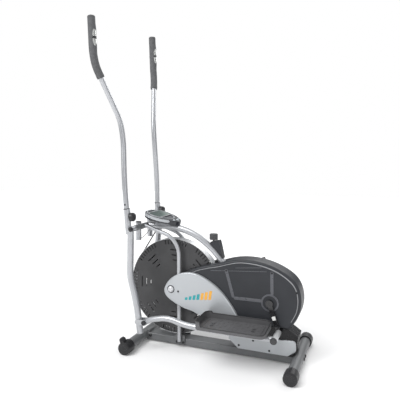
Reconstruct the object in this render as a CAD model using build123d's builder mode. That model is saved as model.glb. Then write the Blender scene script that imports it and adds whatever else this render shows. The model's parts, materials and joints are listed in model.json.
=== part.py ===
"""Elliptical trainer: a fan wheel driven by two foot trays, with two swinging arms.

X runs from the wheel end (-X) to the user's end (+X), Z is up and the floor is z = 0. The user
stands behind the wheel and looks along -X, so the user's left is -Y. Profiles are written as
(x, z) with x measured from the middle of the base, and base_x() moves them into the model's frame.
"""
import math
import os

from build123d import *

os.makedirs("parts", exist_ok=True)

# ---- driving dimensions, mm and degrees ----
BASE_X = 65.4             # the base's middle, behind the middle of the whole machine
RUN = 0.05                # radial clearance of a running fit
FIXED = 0.1               # radial clearance of a piece fixed in another
SIDES = (("left", -1), ("right", 1))

STABILISER_X, STABILISER_Z, STABILISER_R = 397.3, 30.7, 24.5
STABILISER_HALF, CAP_HALF, CAP_LENGTH = 200.0, 235.0, 55.0
TUBE_WALL = 2.0
RAIL_HALF_W, RAIL_Z0, RAIL_Z1, RAIL_END = 33.0, 6.5, 42.5, 369.2

WHEEL_X, WHEEL_Z, WHEEL_R, WHEEL_HALF_W = -224.0, 302.0, 241.5, 24.0
WHEEL_AXLE_R = 6.0
SLOT_GROUPS, SLOTS_IN_GROUP, SLOT_STEP = 8, 8, 4.1

CRANK_X, CRANK_Z, CRANK_R, CRANK_PHASE = 267.6, 284.0, 133.8, 19.7
CRANK_AXLE_R = 8.0
CRANK_IN, CRANK_OUT = 54.0, 65.5
PITCH, RING_TEETH, SPROCKET_TEETH = 12.7, 33, 14
CHAIN_Y = -31.0

PIVOT_X, PIVOT_Z, PIVOT_R = -384.0, 602.5, 8.0
ARM_Y = 153.6             # the plane of each swinging arm, either side of the middle
JOINT_LOCAL = (52.1, -453.9)   # the arm's lower joint, from the pivot
PEDAL_LINK = 631.5        # from that joint to the crank pin

COVER_Y, COVER_WALL = 50.0, 2.5
SILVER_Y = 66.0
TRAY_IN, TRAY_OUT = 72.0, 232.0
CONSOLE_TILT = 14.5


# ---- geometry shared by the pieces ----
def base_x(points):
    return [(BASE_X + x, z) for x, z in points]


def side_plane(y):
    """The upright plane at y, seen from the user's left: x runs to the rear and y runs up."""
    return Plane(origin=(0, y, 0), x_dir=(1, 0, 0), z_dir=(0, -1, 0))


def circle_meeting(centre, radius, other, other_radius, side):
    """Where two circles in the side view cross, on the side named by +1 or -1."""
    dx, dz = other[0] - centre[0], other[1] - centre[1]
    d = math.hypot(dx, dz)
    along = (radius ** 2 - other_radius ** 2 + d ** 2) / (2 * d)
    off = side * math.sqrt(radius ** 2 - along ** 2)
    return (centre[0] + (along * dx - off * dz) / d, centre[1] + (along * dz + off * dx) / d)


def crank_pin(side):
    """The left pin stands at the crank's phase, and the right pin opposite."""
    lean = math.radians(CRANK_PHASE)
    return (CRANK_X - side * CRANK_R * math.sin(lean), CRANK_Z + side * CRANK_R * math.cos(lean))


PIN = {side: crank_pin(side) for _, side in SIDES}
JOINT = {
    side: circle_meeting((PIVOT_X, PIVOT_Z), math.hypot(*JOINT_LOCAL), PIN[side], PEDAL_LINK, -1)
    for _, side in SIDES
}
# how far each arm's top leans to the rear at rest
LEAN = {
    side: math.atan2(JOINT_LOCAL[0], -JOINT_LOCAL[1])
    - math.atan2(JOINT[side][0] - PIVOT_X, PIVOT_Z - JOINT[side][1])
    for _, side in SIDES
}
# how far each pedal arm's rear end is raised, from the left arm's own line
PEDAL_SLOPE = {
    side: math.atan2(PIN[side][1] - JOINT[side][1], PIN[side][0] - JOINT[side][0])
    for _, side in SIDES
}


def arm_xz(side, x, z):
    """A point of the swinging arm, given from its pivot, in the side view at rest."""
    c, s = math.cos(LEAN[side]), math.sin(LEAN[side])
    return (PIVOT_X + x * c + z * s, PIVOT_Z - x * s + z * c)


def arm_point(side, x, out, z):
    """The same in space; out is measured outwards from the arm's plane."""
    px, pz = arm_xz(side, x, z)
    return (BASE_X + px, side * (ARM_Y + out), pz)


def pedal_xz(side, x, z):
    """A point of the pedal arm, written for the left side and turned about its front joint."""
    turn = PEDAL_SLOPE[side] - PEDAL_SLOPE[-1]
    dx, dz = x - JOINT[-1][0], z - JOINT[-1][1]
    c, s = math.cos(turn), math.sin(turn)
    return (JOINT[side][0] + dx * c - dz * s, JOINT[side][1] + dx * s + dz * c)


def bend_radii(points):
    """Each bend of a tube is as gentle as its two runs allow."""
    radii = []
    for before, here, after in zip(points, points[1:], points[2:]):
        run_in = Vector(*here) - Vector(*before)
        run_out = Vector(*after) - Vector(*here)
        turn = math.radians(run_in.get_angle(run_out))
        radii.append(0.45 * min(run_in.length, run_out.length) / math.tan(turn / 2))
    return radii


def tube(points, radius, wall=0.0, radii=None, mode=Mode.ADD):
    """A bent tube, or a bar where it has no wall, through points in space."""
    with BuildLine() as path:
        if len(points) > 2:
            FilletPolyline(*points, radius=radii or bend_radii(points))
        else:
            Line(*points)
    with BuildSketch(Plane(path.line @ 0, z_dir=path.line % 0)) as section:
        Circle(radius)
        if wall:
            Circle(radius - wall, mode=Mode.SUBTRACT)
    sweep(sections=section.sketch, path=path.line, mode=mode)


def side_tube_points(points, y):
    return [(BASE_X + x, y, z) for x, z in points]


def disc(spot, y_from, y_to, radius, hole=0.0, mode=Mode.ADD):
    """A round piece across the machine."""
    with BuildSketch(side_plane(y_from)) as section:
        with Locations((BASE_X + spot[0], spot[1])):
            Circle(radius)
            if hole:
                Circle(hole, mode=Mode.SUBTRACT)
    extrude(section.sketch, amount=y_from - y_to, mode=mode)


def plate(points, y_from, y_to, corner=0.0, mode=Mode.ADD):
    """A flat piece with straight sides, seen from the side."""
    with BuildSketch(side_plane(y_from)) as section:
        with BuildLine():
            Polyline(*base_x(points), close=True)
        make_face()
        if corner:
            fillet(section.vertices(), corner)
    extrude(section.sketch, amount=y_from - y_to, mode=mode)


def link(spot, radius, other, other_radius, y_from, y_to, mode=Mode.ADD):
    """A flat bar with two round ends."""
    with BuildSketch(side_plane(y_from)) as section:
        with Locations((BASE_X + spot[0], spot[1])):
            Circle(radius)
        with Locations((BASE_X + other[0], other[1])):
            Circle(other_radius)
        make_hull()
    extrude(section.sketch, amount=y_from - y_to, mode=mode)


def turned(start, direction, profile, mode=Mode.ADD):
    """A turned piece: profile is (distance along, radius), closed along its axis."""
    axis_dir = Vector(*direction).normalized()
    across = Vector(0, 1, 0) if abs(axis_dir.Y) < 0.9 else Vector(1, 0, 0)
    plane = Plane(origin=start, x_dir=axis_dir, z_dir=axis_dir.cross(across))
    with BuildSketch(plane) as section:
        with BuildLine():
            Polyline(*profile, close=True)
        make_face()
    revolve(section.sketch, axis=Axis(start, axis_dir), mode=mode)


def finish(piece, label):
    piece.part.label = label
    export_step(piece.part, f"parts/{label}.step")


WHEEL, CRANK, PIVOT = (WHEEL_X, WHEEL_Z), (CRANK_X, CRANK_Z), (PIVOT_X, PIVOT_Z)

# ================= the base =================
BOLT_Y, BOLT_R = 17.0, 4.0
SADDLE_IN = 12.0          # how far each saddle reaches round its stabiliser

with BuildPart() as base_rail:
    with BuildSketch(Plane.YZ.offset(BASE_X - RAIL_END)) as rail_section:
        with Locations((0, (RAIL_Z0 + RAIL_Z1) / 2)):
            RectangleRounded(2 * RAIL_HALF_W, RAIL_Z1 - RAIL_Z0, 4)
            RectangleRounded(2 * (RAIL_HALF_W - TUBE_WALL), RAIL_Z1 - RAIL_Z0 - 2 * TUBE_WALL, 2,
                             mode=Mode.SUBTRACT)
    extrude(amount=2 * RAIL_END)
    for end in (-1, 1):
        inner, outer = end * (RAIL_END - 3), end * (RAIL_END + SADDLE_IN)
        plate([(inner, RAIL_Z0), (outer, RAIL_Z0), (outer, 56), (inner, 56)], -31.5, 31.5)
        disc((end * STABILISER_X, STABILISER_Z), -33, 33, STABILISER_R + FIXED, mode=Mode.SUBTRACT)
        with BuildSketch(Plane.YZ.offset(BASE_X + min(inner, outer) - 1)):
            with Locations((-BOLT_Y, STABILISER_Z), (BOLT_Y, STABILISER_Z)):
                Circle(BOLT_R + FIXED)
        extrude(amount=SADDLE_IN + 5, mode=Mode.SUBTRACT)
finish(base_rail, "base_rail")

for name, end in (("front", -1), ("rear", 1)):
    with BuildPart() as stabiliser:
        disc((end * STABILISER_X, STABILISER_Z), -STABILISER_HALF, STABILISER_HALF, STABILISER_R,
             hole=STABILISER_R - TUBE_WALL)
        with BuildSketch(Plane.YZ.offset(BASE_X + end * STABILISER_X - 30)):
            with Locations((-BOLT_Y, STABILISER_Z), (BOLT_Y, STABILISER_Z)):
                Circle(BOLT_R + FIXED)
        extrude(amount=60, mode=Mode.SUBTRACT)
    finish(stabiliser, f"{name}_stabiliser")

TROLLEY_WHEEL, TROLLEY_R, TROLLEY_PIN_R = (-410.5, 68.5), 14.0, 3.0
CAP_R = 31.3              # a little more than the axis height, so that a flat strip meets the floor
with BuildPart() as stabiliser_caps:
    for end in (-1, 1):
        for _, side in SIDES:
            depth = CAP_HALF - STABILISER_HALF
            turned((BASE_X + end * STABILISER_X, side * CAP_HALF, STABILISER_Z), (0, -side, 0),
                   [(0, 0), (0, 26), (1.5, 29.5), (5, CAP_R), (CAP_LENGTH, CAP_R),
                    (CAP_LENGTH, STABILISER_R + FIXED), (depth, STABILISER_R + FIXED), (depth, 0)])
    for _, side in SIDES:
        for y in (203.2, 227.0):
            link(TROLLEY_WHEEL, 9, (-400, 46), 14, side * y, side * (y + 3.6))
        disc(TROLLEY_WHEEL, side * 206.8, side * 227, TROLLEY_R + 1, mode=Mode.SUBTRACT)
        disc(TROLLEY_WHEEL, side * 202, side * 232, TROLLEY_PIN_R + RUN, mode=Mode.SUBTRACT)
    with BuildSketch(Plane.XY):
        with Locations((BASE_X, 0)):
            Rectangle(1000, 600)
    extrude(amount=-10, mode=Mode.SUBTRACT)
finish(stabiliser_caps, "stabiliser_caps")

for name, side in SIDES:
    with BuildPart() as trolley_wheel:
        disc(TROLLEY_WHEEL, side * 207.3, side * 226.5, TROLLEY_R, hole=TROLLEY_PIN_R + RUN)
        fillet(trolley_wheel.edges().filter_by(GeomType.CIRCLE).group_by(SortBy.RADIUS)[-1], 2)
    finish(trolley_wheel, f"transport_wheel_{name}")

# ================= the welded frame =================
ARCH_R = 16.0
ARCH = [(-378, 601), (-230, 601), (-120, 570), (-30, 506), (42, 423), (95, 292), (161, 43)]
ARCH_3D = side_tube_points(ARCH, 0)
CROSS_R, CROSS_HALF = 14.0, 74.0

with BuildPart() as arch_tube:
    plate([(-335, 605), (-252, 605), (-252, 621), (-335, 641)], -14, 14)
    tube(ARCH_3D, ARCH_R - 0.3, mode=Mode.SUBTRACT)
    tube(ARCH_3D, ARCH_R, wall=TUBE_WALL)
    disc(PIVOT, -30, 30, CROSS_R + FIXED, mode=Mode.SUBTRACT)
    with BuildSketch(Plane.XY.offset(RAIL_Z1 + FIXED)):
        with Locations((BASE_X + 160, 0)):
            Rectangle(90, 60)
    extrude(amount=-20, mode=Mode.SUBTRACT)
finish(arch_tube, "arch_tube")

STUB_X, STUB_Y, STUB_Z0, STUB_Z1 = -405.0, 60.0, 532.0, 622.0
with BuildPart() as cross_tube:
    disc(PIVOT, -CROSS_HALF, CROSS_HALF, CROSS_R)
    with BuildSketch(Plane.XY.offset(STUB_Z0)):
        with Locations((BASE_X + STUB_X, -STUB_Y), (BASE_X + STUB_X, STUB_Y)):
            Circle(CROSS_R)
    extrude(amount=STUB_Z1 - STUB_Z0)
    disc(PIVOT, -CROSS_HALF - 1, CROSS_HALF + 1, PIVOT_R + FIXED, mode=Mode.SUBTRACT)
finish(cross_tube, "cross_tube")

NUT_Y = 170.3
with BuildPart() as pivot_shaft:
    disc(PIVOT, -NUT_Y - 5, NUT_Y + 5, PIVOT_R)
    for _, side in SIDES:
        turned((BASE_X + PIVOT_X, side * NUT_Y, PIVOT_Z), (0, side, 0),
               [(0, 0), (0, 12), (4.5, 12), (7.5, 9.5), (9, 5), (9.3, 0)])
finish(pivot_shaft, "pivot_shaft")

SIDE_R, SIDE_Y = 9.5, 50.0
SIDE_PATH = [(-372, 605.1), (-187, 547), (-187, 31)]
with BuildPart() as side_tubes:
    for _, side in SIDES:
        tube(side_tube_points(SIDE_PATH, side * SIDE_Y), SIDE_R, wall=1.5, radii=[110])
        link(WHEEL, 19, (-188, WHEEL_Z), 15, side * 36.4, side * 40.9)
        disc(PIVOT, side * 30, side * 70, CROSS_R + FIXED, mode=Mode.SUBTRACT)
        disc(WHEEL, side * 35, side * 42, WHEEL_AXLE_R + FIXED, mode=Mode.SUBTRACT)
finish(side_tubes, "side_tubes")

FOOT_BOLTS = [(-204, 24), (-170, 24)]
with BuildPart() as foot_brackets:
    for _, side in SIDES:
        plate([(-211, 14), (-163, 14), (-163, 60), (-211, 60)], side * 33.1, side * 40.4, corner=5)
        for spot in FOOT_BOLTS:
            disc(spot, side * 32, side * 42, BOLT_R + FIXED, mode=Mode.SUBTRACT)
finish(foot_brackets, "foot_brackets")

with BuildPart() as frame_fasteners:
    for end in (-1, 1):
        for y in (-BOLT_Y, BOLT_Y):
            head = (BASE_X + end * (STABILISER_X + STABILISER_R + 0.2), y, STABILISER_Z)
            turned(head, (-end, 0, 0), [(-5, 0), (-4.2, 5), (-2, 8), (0, 9), (0, 4), (65, 4), (65, 0)])
            turned((BASE_X + end * 365.9, y, STABILISER_Z), (-end, 0, 0),
                   [(0, 0), (0, 7), (6, 7), (6, 0)])
    for _, side in SIDES:
        disc(TROLLEY_WHEEL, side * 201.4, side * 232.4, TROLLEY_PIN_R)
        disc(TROLLEY_WHEEL, side * 230.8, side * 233.2, 5.5)
        turned((BASE_X - 358, side * (RAIL_HALF_W + 0.1), 31), (0, side, 0),
               [(0, 0), (0, 8.5), (3.5, 8), (6, 5), (6.8, 0)])
        for spot in FOOT_BOLTS:
            disc(spot, side * 33.2, side * 40.5, BOLT_R)
            disc(spot, side * 40.5, side * 44.5, 6.2)
        turned((BASE_X - 187, side * SIDE_Y, 31), (0, 0, -1),
               [(-8, 0), (-8, 7.8), (0.1, 7.8), (0.1, 9.6), (3.5, 9.6), (5, 0)])
        turned((BASE_X + STUB_X, side * STUB_Y, STUB_Z1 + 0.1), (0, 0, 1),
               [(0, 0), (0, 14.6), (2.4, 14.6), (4, 12.5), (4.4, 0)])
finish(frame_fasteners, "frame_fasteners")

SHELL_R, SHELL_HALF, CUP_R, POST_R = 20.0, 26.0, 16.0, 16.0
POST_3D = side_tube_points([(308, 20), (CRANK_X + 4, CRANK_Z - 10)], 0)
with BuildPart() as crank_support:
    tube(side_tube_points([(60, 288), (CRANK_X - 10, 284.5)], 0), 11)
    tube(POST_3D, POST_R)
    disc(CRANK, -SHELL_HALF, SHELL_HALF, SHELL_R)
    disc(CRANK, -SHELL_HALF - 1, SHELL_HALF + 1, CUP_R + FIXED, mode=Mode.SUBTRACT)
    tube(ARCH_3D, ARCH_R + FIXED, mode=Mode.SUBTRACT)
    with BuildSketch(Plane.XY.offset(RAIL_Z1 + FIXED)):
        with Locations((BASE_X + 304, 0)):
            Rectangle(90, 60)
    extrude(amount=-45, mode=Mode.SUBTRACT)
crank_support.part = crank_support.part.solids().sort_by(SortBy.VOLUME)[-1]
finish(crank_support, "crank_support")

with BuildPart() as crank_bearings:
    for _, side in SIDES:
        disc(CRANK, side * (SHELL_HALF - 12), side * SHELL_HALF, CUP_R, hole=CRANK_AXLE_R + RUN)
finish(crank_bearings, "crank_bearings")

with BuildPart() as wheel_axle:
    disc(WHEEL, -49, 49, WHEEL_AXLE_R)
    for _, side in SIDES:
        disc(WHEEL, side * 41, side * 47, 10)
finish(wheel_axle, "wheel_axle")

# ================= the fan wheel =================
with BuildPart() as fan_rim:
    disc(WHEEL, -WHEEL_HALF_W, WHEEL_HALF_W, WHEEL_R, hole=WHEEL_R - 2)
    disc(WHEEL, -20.8, 20.8, WHEEL_R - 1, hole=WHEEL_R - 4)
finish(fan_rim, "fan_rim")

SLOT_RINGS = ((184, 57), (158, 42), (133, 26))   # radius and length of the inner slots
for name, side in SIDES:
    with BuildPart() as fan_disc:
        with BuildSketch(side_plane(side * (WHEEL_HALF_W - 0.3))) as face:
            with Locations((BASE_X + WHEEL_X, WHEEL_Z)):
                Circle(WHEEL_R - 2 - FIXED)
                Circle(22, mode=Mode.SUBTRACT)
                for group in range(SLOT_GROUPS):
                    middle = group * 360 / SLOT_GROUPS - 2
                    for k in range(SLOTS_IN_GROUP):
                        angle = middle + (k - (SLOTS_IN_GROUP - 1) / 2) * SLOT_STEP
                        with PolarLocations(225.5, 1, start_angle=angle):
                            SlotOverall(24, 4.4, mode=Mode.SUBTRACT)
                    for radius, length in SLOT_RINGS:
                        with PolarLocations(radius, 1, start_angle=middle):
                            SlotOverall(length, 5, rotation=90, mode=Mode.SUBTRACT)
        extrude(amount=side * 2.8)
    finish(fan_disc, f"fan_disc_{name}")

BLADES = 12
with BuildPart() as fan_hub:
    disc(WHEEL, -20.6, 20.6, 30)
    disc(WHEEL, -28.2, 20.6, 20)
    for k in range(BLADES):
        angle = 2 * math.pi * (k + 0.5) / BLADES
        c, s = math.cos(angle), math.sin(angle)
        corners = [(WHEEL_X + r * c - w * s, WHEEL_Z + r * s + w * c)
                   for r, w in ((28, -1), (225, -1), (225, 1), (28, 1))]
        plate(corners, -20.6, 20.6)
    disc(WHEEL, -29, 22, WHEEL_AXLE_R + RUN, mode=Mode.SUBTRACT)
finish(fan_hub, "fan_hub")


def pitch_radius(teeth):
    return PITCH / (2 * math.sin(math.pi / teeth))


def toothed(teeth, spot, bore, y_from, y_to):
    """A chain wheel: a disc with a roller seat between each two teeth."""
    r = pitch_radius(teeth)
    with BuildSketch(side_plane(y_from)) as section:
        with Locations((BASE_X + spot[0], spot[1])):
            Circle(r + 2.2)
            Circle(bore, mode=Mode.SUBTRACT)
            with PolarLocations(r + 1.2, teeth):
                Circle(3.4, mode=Mode.SUBTRACT)
    extrude(section.sketch, amount=y_from - y_to)


with BuildPart() as fan_sprocket:
    toothed(SPROCKET_TEETH, WHEEL, 13, CHAIN_Y - 1.4, CHAIN_Y + 1.4)
    disc(WHEEL, CHAIN_Y - 1.4, CHAIN_Y + 2.7, 20, hole=WHEEL_AXLE_R + RUN)
finish(fan_sprocket, "fan_sprocket")

# ================= the crank =================
with BuildPart() as crank_axle:
    disc(CRANK, -CRANK_IN - 4, CRANK_IN + 4, CRANK_AXLE_R)
finish(crank_axle, "crank_axle")

with BuildPart() as chainring:
    toothed(RING_TEETH, CRANK, CRANK_AXLE_R + RUN, CHAIN_Y - 1.4, CHAIN_Y + 1.4)
    for k in range(5):
        angle = math.radians(72 * k + 18)
        hole = (CRANK_X + 42 * math.cos(angle), CRANK_Z + 42 * math.sin(angle))
        disc(hole, CHAIN_Y - 3, CHAIN_Y + 3, 14, mode=Mode.SUBTRACT)
    disc(CRANK, CHAIN_Y - 6, CHAIN_Y - 1.4, 14, hole=CRANK_AXLE_R + RUN)
finish(chainring, "chainring")

BOSS_R, PIN_BOSS_R = 17.0, 12.0
for name, side in SIDES:
    with BuildPart() as crank_arm:
        link(CRANK, 11, PIN[side], 9.5, side * CRANK_IN, side * (CRANK_OUT - 1.5))
        disc(CRANK, side * CRANK_IN, side * CRANK_OUT, BOSS_R)
        disc(PIN[side], side * CRANK_IN, side * CRANK_OUT, PIN_BOSS_R)
        disc(CRANK, side * (CRANK_IN - 1), side * (CRANK_IN + 4), CRANK_AXLE_R + RUN,
             mode=Mode.SUBTRACT)
    finish(crank_arm, f"crank_arm_{name}")

with BuildPart() as crank_reflectors:
    for _, side in SIDES:
        lean = math.radians(CRANK_PHASE)
        along = (-side * math.sin(lean), side * math.cos(lean))
        corners = [(CRANK_X + along[0] * a - along[1] * b, CRANK_Z + along[1] * a + along[0] * b)
                   for a, b in ((59, -8), (77, -8), (77, 8), (59, 8))]
        plate(corners, side * (CRANK_OUT - 1.4), side * (CRANK_OUT + 1.8), corner=2)
finish(crank_reflectors, "crank_reflectors")

# ================= the chain =================
with BuildPart() as drive_chain:
    with BuildSketch(side_plane(CHAIN_Y + 3.5)) as loop:
        for grow, mode in ((10.2, Mode.ADD), (2.7, Mode.SUBTRACT)):
            with BuildSketch(side_plane(CHAIN_Y + 3.5), mode=Mode.PRIVATE) as belt:
                with Locations((BASE_X + CRANK_X, CRANK_Z)):
                    Circle(pitch_radius(RING_TEETH) + grow)
                with Locations((BASE_X + WHEEL_X, WHEEL_Z)):
                    Circle(pitch_radius(SPROCKET_TEETH) + grow)
                make_hull()
            add(belt.sketch, mode=mode)
    extrude(loop.sketch, amount=7)
finish(drive_chain, "drive_chain")

# ================= the covers =================
BACK_CURVE = [(15, 444), (97, 468), (160, 473), (244, 463), (322, 434), (384, 385), (407, 325),
              (403, 255), (378, 200), (352, 170)]
COVER_EDGE = 11.0
COVER_MIDDLE = (120, 315)
COVER_SHARE = 0.95        # the hollow's outline against the outside's
CLEAR_R = WHEEL_R + 5


def wheel_arc(z):
    """X of the arc that clears the fan wheel, at a height."""
    return WHEEL_X + math.sqrt(CLEAR_R ** 2 - (z - WHEEL_Z) ** 2)


def drawn_in(points, middle, share):
    """The same outline on a smaller scale about its middle."""
    return [(middle[0] + share * (x - middle[0]), middle[1] + share * (z - middle[1]))
            for x, z in points]


def cover_outline(front_top, share=1.0):
    """The chain cover's side view: a long curve over the top and round the back."""
    curve = front_top + BACK_CURVE
    if front_top:
        front = [curve[-1], (40, 186), (-60, 196), (-160, 236), (-172, 262), (-172, 352), curve[0]]
    else:
        front = [curve[-1], (wheel_arc(190), 190), (wheel_arc(255), 255), curve[0]]
    curve, front = (base_x(drawn_in(points, COVER_MIDDLE, share)) for points in (curve, front))
    with BuildLine() as outline:
        Spline(*curve)
        if front_top:
            Polyline(*front)
        else:
            Line(front[0], front[1])
            ThreePointArc(*front[1:])
    return outline


def rim_edges(y):
    """The edges at y of the part that is open."""
    return edges().filter_by_position(Axis.Y, y - 0.1, y + 0.1)


def cover_shell(front_top, y_out, y_in):
    """A shell with a rounded outer edge and an open inner side."""
    step = 1 if y_out > y_in else -1
    with BuildSketch(side_plane(y_out)) as face:
        make_face(cover_outline(front_top).edges())
    extrude(face.sketch, amount=y_out - y_in)
    fillet(rim_edges(y_out), COVER_EDGE)
    with BuildSketch(side_plane(y_out - step * 2 * COVER_WALL)) as hollow:
        make_face(cover_outline(front_top, COVER_SHARE).edges())
    extrude(hollow.sketch, amount=y_out - y_in - step * 2 * COVER_WALL + step, mode=Mode.SUBTRACT)


def cover_details(side):
    """Raised channels, a fine line and the crank's boss on a chain cover's outer face."""
    face = side * (COVER_Y - 0.5)
    for x0, z0, x1, z1 in CHANNELS:
        link((x0, z0), 8, (x1, z1), 8, face, side * (COVER_Y + 1.3))
    for x0, z0, x1, z1 in FINE_LINES:
        link((x0, z0), 1.2, (x1, z1), 1.2, face, side * (COVER_Y + 0.9))
    disc(CRANK, face, side * (COVER_Y + 2.4), 41)
    disc(CRANK, side * 40, side * 60, CRANK_AXLE_R + 2.5, mode=Mode.SUBTRACT)
    disc(CRANK, side * (COVER_Y + 1), side * 60, 33, mode=Mode.SUBTRACT)


STRAP_GAP, STRAP_T, STRAP_HALF_W = 0.7, 1.8, 7.0
STRAP_R = WHEEL_R + STRAP_GAP + STRAP_T / 2
STRAP_FRONT, STRAP_REAR = (-334, 578), (-6, 441)


def tangent_angle(spot, radius, turn):
    """The angle on the wheel, in degrees, where a line from a spot outside touches a circle."""
    dx, dz = spot[0] - WHEEL_X, spot[1] - WHEEL_Z
    away = math.degrees(math.acos(radius / math.hypot(dx, dz)))
    return math.degrees(math.atan2(dz, dx)) + turn * away


def on_wheel(radius, angle):
    """A point of the side view, by its radius and angle about the wheel."""
    a = math.radians(angle)
    return (WHEEL_X + radius * math.cos(a), WHEEL_Z + radius * math.sin(a))


STRAP_ON, STRAP_OFF = tangent_angle(STRAP_FRONT, STRAP_R, 1), tangent_angle(STRAP_REAR, STRAP_R, -1)


def frame_room():
    """Room for the arch, the post and the brake strap where they pass a cover's edge."""
    tube(ARCH_3D, ARCH_R + 0.6, mode=Mode.SUBTRACT)
    tube(POST_3D, POST_R + 0.6, mode=Mode.SUBTRACT)
    link(on_wheel(STRAP_R, STRAP_OFF - 5), 6, STRAP_REAR, 15, 11, -11, mode=Mode.SUBTRACT)


CHANNELS = [(58, 416, 92, 296), (275, 424, 277, 330), (104, 288, 222, 289)]
FINE_LINES = [(104, 432, 226, 444)]
FRONT_TOP = [(-150, 388), (-98, 413), (-40, 431)]
with BuildPart() as left_cover:
    cover_shell(FRONT_TOP, -COVER_Y, -0.3)
    disc(WHEEL, -26.2, 5, CLEAR_R, mode=Mode.SUBTRACT)
    plate([(-176, 246), (-150, 246), (-150, 348), (-176, 348)], -COVER_Y + 5, 5, mode=Mode.SUBTRACT)
    cover_details(-1)
    frame_room()
finish(left_cover, "left_cover")

with BuildPart() as right_cover:
    cover_shell([], COVER_Y, 0.3)
    cover_details(1)
    frame_room()
finish(right_cover, "right_cover")

SILVER_TOP = [(-262, 297), (-229, 349), (-164, 385), (-95, 387), (-44, 368), (7, 337), (42, 307),
              (77, 266), (107, 222), (120, 196)]
SILVER_LOW = [(120, 196), (60, 180), (-10, 178), (-69, 183), (-106, 198), (-148, 208), (-191, 223),
              (-229, 243), (-256, 268), (-262, 297)]
SILVER_MIDDLE = (-70, 285)
AXLE_CAP = (-224, 299)
with BuildPart() as front_cover:
    for share, y, mode in ((1, -SILVER_Y, Mode.ADD), (0.93, -SILVER_Y + COVER_WALL, Mode.SUBTRACT)):
        with BuildSketch(side_plane(y)) as silver_face:
            with BuildLine():
                Spline(*base_x(drawn_in(SILVER_TOP, SILVER_MIDDLE, share)))
                Spline(*base_x(drawn_in(SILVER_LOW, SILVER_MIDDLE, share)))
            make_face()
        extrude(silver_face.sketch, amount=y + COVER_Y + 0.1, mode=mode)
        if mode == Mode.ADD:
            fillet(rim_edges(-SILVER_Y), 6)
    plate([(-198.5, 150), (-175.5, 150), (-175.5, 420), (-198.5, 420)], -61, -40, mode=Mode.SUBTRACT)
    turned((BASE_X + AXLE_CAP[0], -SILVER_Y + 1, AXLE_CAP[1]), (0, -1, 0),
           [(0, 0), (0, 14.5), (4, 14), (7.5, 11), (9.5, 6), (10, 0)])
finish(front_cover, "front_cover")

LOWER_Y, PANEL_Y = 44.0, 50.0
LOWER_OUTLINE = [(122, 43), (76, 86), (76, 110), (88, 186), (350, 172), (398, 139),
                 (392, 100), (386, 60), (380, 43)]
with BuildPart() as lower_cover:
    plate(LOWER_OUTLINE, -LOWER_Y, LOWER_Y, corner=1.5)
    with BuildSketch(side_plane(-LOWER_Y + COVER_WALL)) as lower_hollow:
        with BuildLine():
            Polyline(*base_x(LOWER_OUTLINE), close=True)
        make_face()
        offset(amount=-COVER_WALL, kind=Kind.INTERSECTION)
    extrude(lower_hollow.sketch, amount=-2 * (LOWER_Y - COVER_WALL), mode=Mode.SUBTRACT)
    plate([(100, 20), (378, 20), (378, 47), (100, 47)], -LOWER_Y + COVER_WALL, LOWER_Y - COVER_WALL,
          mode=Mode.SUBTRACT)
    plate([(92, 180), (346, 166), (346, 200), (92, 200)], -LOWER_Y + COVER_WALL,
          LOWER_Y - COVER_WALL, mode=Mode.SUBTRACT)
    plate([(30, 186.6), (352.5, 169.4), (352.5, 240), (30, 240)], -60, 60, mode=Mode.SUBTRACT)
    plate([(362, 20), (384, 20), (384, 57), (362, 57)], -RAIL_HALF_W, RAIL_HALF_W,
          mode=Mode.SUBTRACT)
    disc((STABILISER_X, STABILISER_Z), -60, 60, STABILISER_R + 0.6, mode=Mode.SUBTRACT)
finish(lower_cover, "lower_cover")

PANEL_OUTLINE = [(71, 104), (71, 86), (118, 45), (352, 45), (389, 72), (389, 121)]
with BuildPart() as lower_panels:
    for _, side in SIDES:
        with BuildSketch(side_plane(side * (LOWER_Y + 0.1))) as panel:
            with BuildLine():
                Polyline(*base_x(PANEL_OUTLINE), close=True)
            make_face()
            fillet(panel.vertices().group_by(Axis.X)[-1], 14)
        extrude(panel.sketch, amount=-side * (PANEL_Y - LOWER_Y - 0.1))
        fillet(rim_edges(side * PANEL_Y), 2.5)
        with BuildSketch(side_plane(side * LOWER_Y)) as pocket:
            add(panel.sketch)
            offset(amount=-3, kind=Kind.INTERSECTION)
        extrude(pocket.sketch, amount=-side * (PANEL_Y - LOWER_Y - COVER_WALL), mode=Mode.SUBTRACT)
finish(lower_panels, "lower_panels")

COVER_SCREWS = [(58, 416), (275, 424), (388, 345)]
PANEL_SCREWS = [(122, 62), (191, 95), (268, 58)]
SILVER_SCREWS = [(-185, 291)]
with BuildPart() as cover_screws:
    for _, side in SIDES:
        for spot in COVER_SCREWS:
            disc(spot, side * (COVER_Y + 1.35), side * (COVER_Y + 2.6), 4.5)
        for spot in PANEL_SCREWS:
            disc(spot, side * (PANEL_Y + 0.05), side * (PANEL_Y + 1.3), 4.5)
    for spot in SILVER_SCREWS:
        disc(spot, -SILVER_Y - 0.05, -SILVER_Y - 1.2, 4.0)
finish(cover_screws, "cover_screws")

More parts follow.
